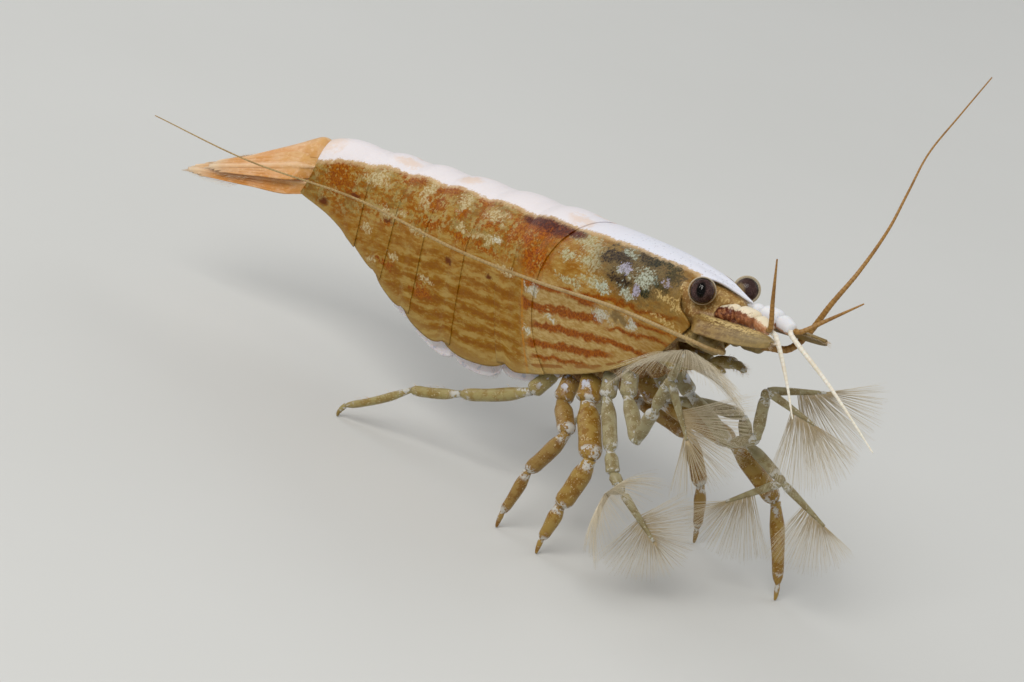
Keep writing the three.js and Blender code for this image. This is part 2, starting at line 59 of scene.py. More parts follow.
ABDOMEN_LENGTH = sum(SOMITE_LENGTHS)
TAIL_TURN = math.radians(27)
TAIL_RISE = math.radians(4.5)
EYE = np.array((17.9, 2.6, -2.2))
EYE_RADIUS = 1.28
SIDES = (("right", -1), ("left", 1))

TOP = ((-33, 0), (0, 0), (6, -0.15), (12, -0.6), (17, -1.35), (19.5, -1.9), (22, -2.6))
HALF_WIDTH = (
    (-33, 2.2), (-27, 3.0), (-22, 4.0), (-17, 4.7), (-10, 5.1),
    (0, 5.1), (8, 4.9), (14, 4.2), (18, 3.3), (22, 3.0),
)
DEPTH = (
    (-33.5, 5.6), (-30, 6.8), (-26.7, 8.6), (-22, 11.6), (-18, 13.6), (-13, 15.0), (-6, 15.0),
    (0, 14.0), (8.4, 11.4), (15.8, 7.0), (18, 5.6), (22, 4.6),
)
JOINT_STATIONS = [-sum(SOMITE_LENGTHS[:k]) for k in range(7)]
JOINT_SWEEP = (0, 1.6, -1.0, -1.2, -1.3, -0.8, -1.6)
CARAPACE_LOBE = 2.3
CARAPACE_FRONT = (
    (0, ROSTRUM_TIP), (0.09, CARAPACE_LENGTH), (0.18, 16.2), (0.38, 16.3),
    (0.5, 17.6), (0.62, 17.7), (0.8, 16.4), (1, 14.6),
)
DOME_SHARE = 0.5
BELLY_SHARE = 0.6
LOBE_ROUNDING = 0.05

rng = np.random.default_rng(7)

# ---- the body frame in the row's frame
AHEAD = np.array((math.cos(PITCH), 0, math.sin(PITCH)))
LEFT = np.array((0.0, 1.0, 0.0))
ABOVE = np.array((-math.sin(PITCH), 0, math.cos(PITCH)))
BODY_AXES = np.stack((AHEAD, LEFT, ABOVE))
eye_corners = [np.array(corner) for side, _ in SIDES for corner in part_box(f"eye_{side}")]
BODY_ORIGIN = sum(eye_corners) / 4 - (EYE * (1, 0, 1)) @ BODY_AXES * MM
UP = np.array((math.sin(PITCH), 0, math.cos(PITCH)))  # true up, in the body frame


def to_world(points):
    """Body-frame millimetres to metres in the row's frame."""
    return np.asarray(points, float) @ BODY_AXES * MM + BODY_ORIGIN


# ---- small tools
def lerp(a, b, t):
    return a + (b - a) * t


def smooth(x, low, high):
    """0 below low, 1 above high, with a smooth rise between them."""
    t = np.clip((x - low) / (high - low), 0, 1)
    return t * t * (3 - 2 * t)


def ridge(x, width):
    """1 where x is 0, falling off within about width on both sides."""
    return np.exp(-((x / width) ** 2))


def rounded_tip(u, start, least, power=2):
    """1 up to u = start, from where it falls like an oval's end, at most to the root of least."""
    return np.sqrt(np.clip(1 - np.clip((u - start) / (1 - start), 0, 1) ** power, least, 1))


def unit(vectors):
    vectors = np.asarray(vectors, float)
    return vectors / np.maximum(np.linalg.norm(vectors, axis=-1, keepdims=True), 1e-12)


def profile(table, s):
    """A smooth curve through (station, value) pairs."""
    knots, values = np.array(table, float).T
    s = np.clip(s, knots[0], knots[-1])
    before = np.maximum(np.arange(len(knots)) - 1, 0)
    after = np.minimum(np.arange(len(knots)) + 1, len(knots) - 1)
    slopes = (values[after] - values[before]) / (knots[after] - knots[before])
    i = np.clip(np.searchsorted(knots, s, side="right") - 1, 0, len(knots) - 2)
    h = knots[i + 1] - knots[i]
    t = (s - knots[i]) / h
    ends = values[i] * (1 + 2 * t) * (1 - t) ** 2 + values[i + 1] * t * t * (3 - 2 * t)
    return ends + h * (slopes[i] * t * (1 - t) ** 2 - slopes[i + 1] * t * t * (1 - t))


def curve_through(points, u):
    """Points at shares u of the length of a smooth curve through given points."""
    points = np.array(points, float)
    knots = np.concatenate(([0], np.cumsum(np.linalg.norm(np.diff(points, axis=0), axis=1) ** 0.5)))
    fine = np.linspace(0, knots[-1], 400)
    path = np.stack([profile(np.stack((knots, points[:, k]), 1), fine) for k in range(3)], 1)
    run = np.concatenate(([0], np.cumsum(np.linalg.norm(np.diff(path, axis=0), axis=1))))
    return np.stack([np.interp(np.asarray(u) * run[-1], run, path[:, k]) for k in range(3)], 1)


# ---- the shape of the body
SPINE_STEP = 0.25


def forward_at(q):
    """Direction of the back, q mm behind the carapace's rear edge."""
    turn = TAIL_TURN * (q / ABDOMEN_LENGTH) ** 1.15
    rise = TAIL_RISE * q / ABDOMEN_LENGTH
    return np.stack((np.cos(turn) * np.cos(rise), np.sin(turn) * np.cos(rise), -np.sin(rise)), -1)


spine_middles = (np.arange(150) + 0.5) * SPINE_STEP
SPINE = np.concatenate((np.zeros((1, 3)), np.cumsum(-forward_at(spine_middles) * SPINE_STEP, axis=0)))


def frame_at(s):
    """Origin, forward, left and up of the back at station s (negative in the abdomen)."""
    s = np.asarray(s, float)
    q = np.maximum(-s, 0)
    forward = forward_at(q)
    left = unit(np.cross((0, 0, 1), forward))
    up = np.cross(forward, left)
    index = np.minimum((q / SPINE_STEP).astype(int), len(SPINE) - 1)
    curved = SPINE[index] + forward * (index * SPINE_STEP - q)[..., None]
    straight = np.stack((s, 0 * s, 0 * s), -1)
    return np.where((s < 0)[..., None], curved, straight), forward, left, up


def body_point(s, y, z):
    """Point at station s, y to the left and z up from the line of the back."""
    origin, _, left, up = frame_at(s)
    return origin + left * np.asarray(y)[..., None] + up * np.asarray(z)[..., None]


def shell_outline(s, t, depth):
    """Outline of the shell across the body: t = 0 on the midline of the back, 1 at the lower edge."""
    width = profile(HALF_WIDTH, s)
    dome = np.minimum(width * 1.15, depth * 0.6)
    angle = np.minimum(t / DOME_SHARE, 1) * math.pi / 2
    side = np.clip((t - DOME_SHARE) / (1 - DOME_SHARE), 0, 1)
    y = width * np.where(t < DOME_SHARE, np.sin(angle), 1 - 0.12 * side * side)
    z = np.where(t < DOME_SHARE, -dome * (1 - np.cos(angle)), -lerp(dome, depth, side))
    return y, z


def flank_arc(s, t):
    """Length of the outline from the midline of the back down to flank distance t."""
    steps = np.linspace(0, 1, 33)
    y, z = shell_outline(s[..., None], t[..., None] * steps, profile(DEPTH, s)[..., None])
    return np.hypot(np.diff(y), np.diff(z)).sum(-1)


def joint_station(k, t):
    """Station of the joint behind plate k (0 is the carapace), by distance t down the flank."""
    lobe = -CARAPACE_LOBE * np.sin(math.pi * np.clip(t, 0, 1) ** 1.4) if k == 0 else 0
    return JOINT_STATIONS[k] + JOINT_SWEEP[k] * t * t + lobe


# ---- building meshes
def blade_grid(first, last, rows, columns):
    """Shares u along a blade, from first to last, and v across it, from -1 to 1."""
    return np.meshgrid(np.linspace(first, last, rows), np.linspace(-1, 1, columns), indexing="ij")


def surface_normals(points):
    """Unit normals of a grid of points. They point out of the body where the columns run clockwise seen
    along the rows from outside, as on the telson, and into the body on all the other sheets."""
    return unit(np.cross(np.gradient(points, axis=1), np.gradient(points, axis=0)))


def grid_faces(rows, columns, wrap=False):
    """Quads of a grid of points, joined round from the last column to the first if wrap is set."""
    i, j = np.meshgrid(np.arange(rows - 1), np.arange(columns if wrap else columns - 1), indexing="ij")
    i, j = i.ravel() * columns, j.ravel()
    after = (j + 1) % columns
    return np.stack((i + j, i + columns + j, i + columns + after, i + after), 1)


def side_vectors(directions, start):
    """A unit vector across each direction of a path, carried along it without twisting."""
    across = np.array(start, float)
    made = []
    for direction in unit(directions):
        across = unit(across - direction * (across @ direction))
        made.append(across)
    return np.array(made)


def bowed(roots, tips, bow, sections):
    """Paths from roots to tips, bent sideways by the vectors bow."""
    u = np.linspace(0, 1, sections)[None, :, None]
    return roots[:, None] + (tips - roots)[:, None] * u + np.asarray(bow)[:, None] * (4 * u * (1 - u))


class Solid:
    """Collects the closed patches of one piece and makes its Blender object.

    Each point carries a place: three numbers that the materials read as the attribute "place".
    """

    def __init__(self):
        self.points = []
        self.places = []
        self.faces = []
        self.patches = []
        self.count = 0

    def add(self, points, places, *faces, patch=None):
        points = np.asarray(points, float).reshape(-1, 3)
        self.points.append(points)
        self.places.append(np.broadcast_to(np.asarray(places, float), points.shape))
        self.faces += [np.asarray(f) + self.count for f in faces]
        self.patches.append(np.zeros((len(points), 2)) if patch is None else patch)
        self.count += len(points)

    def sheet(self, grid, place, thickness):
        """A sheet between a grid of points and a second one, thickness away against the grid's normals:
        inside on the telson, outside on all the others. All its faces are wound to face into the sheet."""
        rows, columns = grid.shape[:2]
        second = grid - surface_normals(grid) * np.asarray(thickness)[..., None]
        n = rows * columns
        front = grid_faces(rows, columns)
        index = np.arange(n).reshape(rows, columns)
        edge = np.concatenate((index[0, :-1], index[:-1, -1], index[-1, :0:-1], index[:0:-1, 0]))
        after = np.roll(edge, -1)
        rim = np.stack((edge, after, after + n, edge + n), 1)
        points = np.concatenate((grid.reshape(-1, 3), second.reshape(-1, 3)))
        self.add(points, np.tile(place.reshape(-1, 3), (2, 1)), front, front[:, ::-1] + n, rim)

    def tube(self, centres, wide, thick, side, along=0.0, tone=0.0, sides=12):
        """A closed tube: an oval section with half axes wide and thick at each centre. The place holds the
        number along, how far the surface faces up from -1 to 1, and the number tone."""
        centres = np.asarray(centres, float)
        rows = len(centres)
        ahead = np.gradient(centres, axis=0)
        across = side_vectors(ahead, side)
        other = np.cross(unit(ahead), across)
        angle = 2 * math.pi * (np.arange(sides) + 0.5) / sides
        wide = np.broadcast_to(wide, rows)[:, None, None]
        thick = np.broadcast_to(thick, rows)[:, None, None]
        ring = across[:, None] * np.cos(angle)[None, :, None] * wide
        ring = ring + other[:, None] * np.sin(angle)[None, :, None] * thick
        places = np.zeros((rows, sides, 3))
        places[..., 0] = np.broadcast_to(along, rows)[:, None]
        places[..., 1] = unit(ring) @ UP
        places[..., 2] = tone
        ends = [np.arange(sides)[::-1][None], (np.arange(sides) + (rows - 1) * sides)[None]]
        sheet = grid_faces(rows, sides, wrap=True)[:, ::-1]
        self.add(centres[:, None] + ring, places.reshape(-1, 3), sheet, *ends)

    def strands(self, paths, radius, root_places):
        """Bristles with three sides each, along paths of shape (count, sections, 3). Each one's bake patch
        is 0.003 wide at its root's place on the piece that it grows from."""
        count, sections = paths.shape[:2]
        u = np.linspace(0, 1, sections)[None, :, None]
        ahead = unit(np.gradient(paths, axis=1))
        across = unit(np.cross(ahead, (0.31, 0.45, 0.84)))
        other = np.cross(ahead, across)
        radii = radius * (1 - 0.75 * u)
        angles = 2 * math.pi * np.arange(3) / 3
        ring = [paths + (across * math.cos(a) + other * math.sin(a)) * radii for a in angles]
        places = np.zeros((count, sections, 3, 3))
        places[..., 0] = u
        places[..., 1] = rng.random(count)[:, None, None]
        patch = np.zeros((count, sections, 3, 2))
        patch[..., 0] = np.asarray(root_places)[:, 0, None, None] + 0.003 * u
        patch[..., 1] = np.asarray(root_places)[:, 1, None, None] + 0.0015 * np.arange(3)
        per = sections * 3
        sheet = grid_faces(sections, 3, wrap=True)[:, ::-1]
        faces = (sheet[None] + np.arange(count)[:, None, None] * per).reshape(-1, 4)
        ends = np.array(((2, 1, 0), (per - 3, per - 2, per - 1)))
        ends = (ends[None] + np.arange(count)[:, None, None] * per).reshape(-1, 3)
        self.add(np.stack(ring, 2), places.reshape(-1, 3), faces, ends, patch=patch.reshape(-1, 2))

    def make(self, name, material, slot, nodes=(), coat=False):
        """Makes the object, in the row's frame, standing for the given CAD nodes."""
        mesh = bpy.data.meshes.new(name)
        points = to_world(np.concatenate(self.points))
        widths = np.concatenate([np.full(len(f), f.shape[1]) for f in self.faces])
        corners = np.concatenate([f.ravel() for f in self.faces]).astype(np.int32)
        mesh.vertices.add(len(points))
        mesh.vertices.foreach_set("co", points.astype(np.float32).ravel())
        mesh.loops.add(len(corners))
        mesh.loops.foreach_set("vertex_index", corners)
        mesh.polygons.add(len(widths))
        mesh.polygons.foreach_set("loop_start", (np.cumsum(widths) - widths).astype(np.int32))
        mesh.update(calc_edges=True)
        mesh.validate()
        mesh.polygons.foreach_set("use_smooth", np.ones(len(mesh.polygons), bool))
        place = mesh.attributes.new("place", "FLOAT_VECTOR", "POINT")
        place.data.foreach_set("vector", np.concatenate(self.places).astype(np.float32).ravel())
        if coat:
            patches = np.concatenate(self.patches)
            corner_vertices = np.empty(len(mesh.loops), np.int32)
            mesh.loops.foreach_get("vertex_index", corner_vertices)
            uv = mesh.uv_layers.new(name="OFBake")
            uv.data.foreach_set("uv", patches[corner_vertices].astype(np.float32).ravel())
        finish_piece(name, mesh, material, nodes)


def add_object(name, data):
    made = bpy.data.objects.new(name, data)
    bpy.context.scene.collection.objects.link(made)
    return made


def finish_piece(name, mesh, material, nodes):
    piece = add_object(name, mesh)
    mesh.materials.append(material)
    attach(piece, "root")
    if nodes:
        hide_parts(*nodes)


def sheet_piece(name, points, place, wall, material, slot, node, order=1):
    """A piece of one sheet. place holds the three numbers of the points' places, as grids. order -1 turns
    the columns round, so that the body's two sides are built alike."""
    turn = slice(None, None, order)
    solid = Solid()
    solid.sheet(points[:, turn], np.stack(place, -1)[:, turn], wall[:, turn])
    solid.make(name, material, slot, [node])


# ---- building materials
def srgb(red, green, blue):
    """A colour written as 0 to 255 on screen, as linear red, green, blue and alpha."""
    levels = [c / 255 for c in (red, green, blue)]
    return (*[c / 12.92 if c <= 0.04045 else ((c + 0.055) / 1.055) ** 2.4 for c in levels], 1.0)


class Field:
    """A number, colour or vector that varies over a surface. Arithmetic on it adds nodes."""

    def __init__(self, paint, socket):
        self.paint = paint
        self.socket = socket

    def math(self, operation, *others):
        return self.paint.node("Math", 0, self, *others, operation=operation)

    def __add__(self, other):
        return self.math("ADD", other)

    def __sub__(self, other):
        return self.math("SUBTRACT", other)

    def __mul__(self, other):
        return self.math("MULTIPLY", other)

    __radd__ = __add__
    __rmul__ = __mul__

    def __abs__(self):
        return self.math("ABSOLUTE")

    def highest(self, other):
        return self.math("MAXIMUM", other)

    def rise(self, low, high):
        """0 at low, 1 at high, smooth between them; high may be the lower number."""
        ramp = {"interpolation_type": "SMOOTHSTEP"}
        return self.paint.node("MapRange", 0, self, low, high, 0.0, 1.0, **ramp)


class Paint:
    """Makes one material's nodes round its Principled shader."""

    def __init__(self, name, roughness=0.4, **shader_inputs):
        self.material = bpy.data.materials.new(name)
        self.material.use_nodes = True
        self.tree = self.material.node_tree
        self.shader = self.tree.nodes["Principled BSDF"]
        self.colour = None
        self.set(Roughness=roughness, **shader_inputs)

    def set(self, **inputs):
        """Sets the shader's inputs, named with _ for a space, to numbers, colours or fields."""
        for name, value in inputs.items():
            self.wire(self.shader.inputs[name.replace("_", " ")], value)

    def wire(self, socket, value):
        if isinstance(value, Field):
            self.tree.links.new(value.socket, socket)
        else:
            socket.default_value = value

    def node(self, kind, output, *inputs, **settings):
        made = self.tree.nodes.new("ShaderNode" + kind)
        for name, value in settings.items():
            setattr(made, name, value)
        for socket, value in zip([s for s in made.inputs if s.enabled], inputs):
            if value is not None:
                self.wire(socket, value)
        return Field(self, [s for s in made.outputs if s.enabled][output])

    def place(self):
        """The three numbers of each point's place, and all of them as a vector."""
        vector = self.node("Attribute", 1, attribute_name="place")
        parts = self.tree.nodes.new("ShaderNodeSeparateXYZ")
        self.tree.links.new(vector.socket, parts.inputs[0])
        return [Field(self, s) for s in parts.outputs] + [vector]

    def position(self):
        """Position in mm in the row's frame, which moves with the piece."""
        where = self.node("TexCoord", 3)
        return self.node("VectorMath", 0, where, (1 / MM,) * 3, operation="MULTIPLY")

    def vector(self, x, y, z=0.0):
        return self.node("CombineXYZ", 0, x, y, z)

    def noise(self, where, scale, detail=3.0, roughness=0.55):
        """Noise from 0 to 1, mostly near 0.5; scale is in features per mm."""
        return self.node("TexNoise", 0, where, scale, detail, roughness)

    def cells(self, where, scale):
        """Distance to the nearest of many scattered points."""
        return self.node("TexVoronoi", 0, where, scale)

    def mix(self, share, first, second):
        """Colour first where share is 0, second where it is 1: each a field, or 0 to 255 on screen."""
        made = self.tree.nodes.new("ShaderNodeMix")
        made.data_type = "RGBA"
        self.wire(made.inputs[0], share)
        for socket, colour in ((made.inputs[6], first), (made.inputs[7], second)):
            self.wire(socket, colour if isinstance(colour, Field) else srgb(*colour))
        return Field(self, made.outputs[2])

    def layer(self, share, colour):
        """Lays a colour over the material's colour so far."""
        self.colour = self.mix(share, self.colour, colour)

    def blot(self, where, centre, radii, soft=0.9):
        """1 inside an oval with that centre and those half axes, 0 outside it."""
        factor = (*[1 / r for r in radii], 0)
        offset = (*[-c / r for c, r in zip(centre, radii)], 0)
        scaled = self.node("VectorMath", 0, where, factor, offset, operation="MULTIPLY_ADD")
        distance = self.node("VectorMath", 0, scaled, operation="LENGTH")
        return distance.rise(1 + soft / 2, 1 - soft / 2)

    def blots(self, where, ovals, soft=0.9):
        """The union of ovals, each (x, y, half length, half height)."""
        total = 0.0
        for x, y, long, high in ovals:
            total = self.blot(where, (x, y), (long, high), soft).highest(total)
        return total

    def done(self, height=None, depth=0.0):
        """The material in its layered colour, with a relief if height is given: a field from 0 to 1, times
        depth in mm."""
        self.set(Base_Color=self.colour)
        if height is not None:
            relief = self.tree.nodes.new("ShaderNodeBump")
            relief.inputs["Strength"].default_value = 1.0
            relief.inputs["Distance"].default_value = depth * MM
            self.wire(relief.inputs["Height"], height)
            self.tree.links.new(relief.outputs["Normal"], self.shader.inputs["Normal"])
        return self.material


# ---- markings of the shell
# Stations and distances down the flank in mm. A blot is (station, distance, half length, half height).
STRIPE_WIDTH = (
    (-33, 3.3), (-25, 2.5), (-16, 2.65), (-6, 2.8), (0, 2.5), (5, 2.25), (10, 2.0), (16, 1.4), (20, 0.9),
)
# Wavy lines: height below the back at station 0, slope, bend, half width, first and last station.
FLANK_LINES = (
    (8.60, -0.04, 0.001, 0.27, -3.0, 7.7),
    (10.65, -0.10, -0.006, 0.36, -3.0, 8.6),
    (12.20, -0.12, -0.001, 0.27, -1.2, 14.2),
    (13.85, -0.14, -0.003, 0.31, -1.6, 9.8),
    (15.10, -0.12, -0.005, 0.19, -0.8, 8.2),
    (7.73, 0.09, -0.013, 0.16, 5.0, 17.0),
    (10.90, -0.225, 0.0, 0.12, 11.5, 16.4),
    (11.75, -0.214, 0.0, 0.15, 8.8, 16.2),
)
WAVE = 1.4  # distance between the wavy lines low on the abdomen
FIRST_WAVE = 9.1
RUST = (
    (-11.4, 3.0, 1.5, 0.7), (-16.2, 3.1, 2.1, 0.9), (-16.8, 4.9, 1.2, 0.8), (-20.8, 2.9, 1.7, 0.7),
    (-9.2, 5.4, 1.6, 0.45), (-6.0, 4.9, 1.1, 1.3), (-13.3, 5.2, 1.0, 0.6), (-16.6, 6.6, 1.5, 0.7),
    (-27.2, 5.5, 1.1, 0.35), (-12.2, 7.1, 1.6, 0.5), (-8.4, 7.5, 1.8, 0.4), (-29.3, 4.4, 2.0, 1.4),
    (-21.6, 11.5, 1.4, 0.5), (-16.4, 13.1, 1.6, 0.7), (-5.4, 3.9, 1.2, 0.5), (-22.5, 7.3, 1.2, 0.3),
)
PALE = (
    (-18.4, 3.8, 0.7, 1.6), (-13.6, 4.0, 0.7, 1.2), (-9.0, 4.4, 1.7, 0.7), (-9.8, 6.5, 2.2, 0.3),
    (-7.7, 6.4, 0.9, 0.45), (-18.3, 7.6, 1.0, 0.35), (-16.1, 11.9, 0.9, 0.35), (-20.7, 10.6, 0.6, 0.5),
    (-24.9, 8.5, 0.8, 0.4), (-24.9, 3.7, 1.6, 0.9), (-5.5, 8.6, 1.3, 0.4), (-12.9, 6.1, 0.8, 0.4),
    (-22.0, 6.4, 2.0, 0.25), (-24.0, 11.4, 0.8, 0.4),
)
OLIVE = (
    (2.4, 3.2, 2.4, 0.8), (1.9, 5.3, 1.3, 0.6), (4.9, 5.1, 1.7, 0.9), (6.6, 6.7, 2.0, 0.6),
    (3.3, 7.3, 1.8, 0.4), (4.5, 3.9, 2.0, 0.7),
)
ORANGE = ((-2.4, 4.2, 2.7, 1.0), (-1.9, 6.6, 1.8, 1.5), (-3.9, 5.4, 1.2, 0.7), (-0.6, 3.7, 1.2, 0.7))
DARK = (
    (7.7, 3.5, 2.0, 0.9), (9.2, 5.5, 2.0, 0.6), (10.9, 2.4, 2.0, 0.9), (13.3, 2.1, 1.7, 0.65),
    (14.5, 3.0, 1.5, 0.7), (13.4, 4.2, 1.5, 0.45), (6.4, 4.2, 0.9, 0.6), (12.4, 5.3, 0.9, 0.5),
)
LICHEN = (
    (11.6, 4.3, 1.4, 0.9), (10.4, 6.2, 1.0, 0.5), (9.0, 4.6, 0.9, 0.5), (8.3, 2.9, 1.3, 0.4),
    (7.6, 6.8, 1.3, 0.4),
)
LAVENDER = ((9.1, 4.4, 0.9, 0.6), (11.5, 5.7, 0.5, 0.6), (14.1, 3.8, 0.7, 0.35))
GOLD = ((16.4, 4.3, 0.6, 1.4), (18.4, 4.7, 3.0, 0.4), (14.8, 4.9, 1.1, 0.4), (15.3, 6.6, 2.0, 0.25))
WHITE = (
    (8.3, 9.1, 1.0, 0.65), (11.7, 8.6, 0.8, 0.5), (-1.3, 9.3, 1.0, 0.5), (-1.4, 13.0, 0.5, 0.4),
    (1.5, 11.2, 0.9, 0.2), (-7.7, 6.4, 0.6, 0.3),
)
DOTS = (
    (-13.3, 9.4, 0.5, 0.28), (-7.6, 9.7, 0.45, 0.24), (-22.2, 7.2, 0.5, 0.2), (-27, 5.6, 0.6, 0.2),
    (-30.9, 6.9, 0.6, 0.4),
)
MAROON = ((-2.5, 3.25, 3.3, 1.0), (-4.7, 3.3, 1.5, 0.6), (0.7, 3.1, 1.7, 0.6))


def flank_lines(s, depth, wobble):
    """1 on the lines of the table, fading out at their sides and ends."""
    total = 0.0
    square = s * s
    for start, slope, bend, half, first, last in FLANK_LINES:
        off_centre = abs(depth - (s * slope + square * bend + start) + wobble)
        ends = s.rise(first - 0.6, first + 0.9) * s.rise(last + 0.6, last - 1.2)
        total = ((off_centre - half).rise(0.2, -0.12) * ends).highest(total)
    return total


def stripe_edge(s):
    """Distance down the flank at which the white stripe ends."""
    edge = STRIPE_WIDTH[0][1]
    for (s0, w0), (s1, w1) in zip(STRIPE_WIDTH, STRIPE_WIDTH[1:]):
        edge = s.rise(s0, s1) * (w1 - w0) + edge
    return edge


def shell_material():
    """The carapace and the abdomen's plates. place holds the station, the distance down the flank from the
    midline of the back, and the share of the way to the lower edge."""
    paint = Paint("wet_shell", 0.38, IOR=1.2, Subsurface_Weight=0.08, Subsurface_Scale=0.3 * MM)
    paint.set(Subsurface_Radius=(1.0, 0.8, 0.6), Coat_Weight=0.1, Coat_Roughness=0.15)
    s, depth, share, _ = paint.place()
    spot = paint.position()
    broad = paint.noise(spot, 0.35)
    patchy = paint.noise(spot, 1.1, 4.0)
    fine = paint.noise(spot, 2.4, 4.0, 0.68)
    grain = paint.noise(spot, 5.0, 3.0, 0.6)
    streaky = paint.noise(paint.vector(s * 0.3, depth, broad), 1.7, 4.0, 0.6)
    fibres = paint.noise(paint.vector(s * 0.35, depth, broad), 4.2, 3.0, 0.6)
    shift = (patchy - 0.5) * 2.2 + (fine - 0.5) * 1.6
    warped = paint.vector(s + shift * 1.3, depth + shift * 0.8)
    even = paint.vector(s + (fine - 0.5) * 0.9, depth + (fine - 0.5) * 0.9)

    def grains(ovals, where, thick=1.0, soft=0.0):
        """Ovals broken up into granules, sparser towards their edges. soft blurs the granules' rims."""
        region = paint.blots(where, ovals, 1.3)
        scattered = fine * 0.55 + grain * 0.45 + region * 0.25 - 0.165
        return scattered.rise(0.46 - soft, 0.58 + soft) * region.rise(0.02, 0.3) * thick

    def tones(first, second):
        """Two colours in fine granules."""
        return paint.mix(grain.rise(0.42, 0.58), first, second)

    # ground: golden brown, deeper low down, streaked along the body
    low = depth.rise(8.0, 14.5)
    paint.colour = paint.mix(broad.rise(0.38, 0.62), (160, 122, 64), (148, 106, 44))
    paint.layer(low * 0.8, (138, 96, 30))
    paint.layer(s.rise(-23.0, -29.0) * 0.7, (150, 100, 38))
    paint.layer(streaky.rise(0.5, 0.62) * 0.65, (134, 82, 22))
    paint.layer(streaky.rise(0.48, 0.37) * 0.55, (168, 142, 84))
    paint.layer(fibres.rise(0.52, 0.66) * 0.4, (176, 150, 92))
    paint.layer(fibres.rise(0.46, 0.34) * 0.4, (126, 80, 22))

    # wavy lines low on the abdomen, and sharper ones between paler lanes on the carapace
    wobble = (patchy - 0.5) * 1.1 + (broad - 0.5) * 1.6
    phase = (depth + wobble * 0.7 - FIRST_WAVE) * (2 * math.pi / WAVE)
    wave = phase.math("COSINE") + (streaky - 0.5) * 2.5
    waves = depth.rise(8.2, 9.4) * s.rise(-26.0, -17.0) * s.rise(-2.2, -4.5)
    paint.layer(wave.rise(0.1, 1.0) * waves * 0.62, (124, 72, 14))
    paint.layer(wave.rise(-0.3, -1.1) * waves * 0.55, (172, 144, 86))
    lanes = depth.rise(7.4, 8.4) * s.rise(-3.0, -0.5) * s.rise(17.0, 11.0)
    lane = paint.mix(fibres.rise(0.4, 0.6), (164, 132, 78), (184, 158, 108))
    paint.layer(lanes * 0.85, lane)
    flank = flank_lines(s, depth, wobble * 0.85 + (fine - 0.5) * 0.2)
    flank = flank * (fine * 0.4 + streaky * 1.1).rise(0.46, 0.62)
    paint.layer(flank * 0.95, tones((146, 78, 18), (118, 54, 8)))
    rear_edge = abs(s - depth * 0.19 + 4.55 + wobble * 0.15).rise(0.28, 0.06) * depth.rise(7.6, 9.0)
    paint.layer(rear_edge * fine.rise(0.38, 0.5) * 0.7, (184, 122, 44))
    rim = abs(share - 0.95 + wobble * 0.004).rise(0.016, 0.006) * s.rise(-2.6, -1.2) * s.rise(13.5, 11.0)
    paint.layer(rim * streaky.rise(0.4, 0.5) * 0.9, (128, 62, 12))

    # rust, pale and olive granules above
    upper = depth.rise(8.6, 6.8) * s.rise(1.0, -2.0)
    paint.layer(upper * (streaky + fine).rise(0.98, 1.08) * 0.75, (138, 78, 24))
    paint.layer(upper * (patchy + fine).rise(0.99, 0.86) * 0.7, (166, 146, 98))
    paint.layer(upper * (broad + grain).rise(1.0, 1.1) * 0.5, (122, 104, 58))
    paint.layer(grains(RUST, warped), tones((158, 96, 34), (130, 68, 16)))
    paint.layer(grains(PALE, warped, 0.9, 0.05), tones((170, 148, 102), (196, 180, 142)))
    paint.layer(grains(OLIVE, warped, 0.9, 0.04), tones((152, 142, 98), (180, 174, 142)))
    blaze = paint.blots(warped, ORANGE, 1.4) * (fine * 0.7 + grain * 0.3).rise(0.36, 0.5)
    paint.layer(blaze, tones((166, 92, 22), (128, 60, 12)))

    # front of the carapace: dark mottle, lichen-like granules, golden flecks
    mottled = paint.blot(warped, (10.5, 3.9), (5.0, 2.6), 1.0)
    paint.layer(mottled * 0.9, tones((124, 108, 70), (92, 76, 48)))
    paint.layer(mottled * grain.rise(0.5, 0.42) * 0.8, (60, 46, 28))
    behind = tones((72, 56, 32), (40, 26, 12))
    ahead = tones((58, 56, 28), (26, 28, 8))
    paint.layer(grains(DARK, warped), paint.mix(s.rise(9.0, 13.0), behind, ahead))
    paint.layer(grains(LICHEN, warped, 0.85, 0.03), tones((136, 138, 116), (180, 186, 170)))
    paint.layer(grains(LAVENDER, even, 0.9), tones((130, 124, 132), (166, 160, 176)))
    # painted shade: the upper front of the carapace is darker just behind the eye
    paint.layer(s.rise(12.5, 15.5) * depth.rise(7.5, 5.5) * 0.4, (112, 86, 46))
    paint.layer(grains(GOLD, warped, 0.7), tones((146, 116, 62), (202, 176, 122)))

    # opaque white patches, a painted shadow beside them, and small dark spots
    paint.layer(grains(WHITE, warped, 0.9, 0.07), tones((172, 172, 152), (202, 200, 186)))
    # painted shadow: a brown blot beside the white patches
    paint.layer(paint.blot(warped, (10.1, 8.5), (0.9, 0.5)) * 0.7, (98, 80, 54))
    paint.layer(paint.blots(even, DOTS, 1.1) * 0.95, (92, 40, 4))
    paint.layer(share.rise(0.9, 0.99) * 0.5, (166, 144, 92))

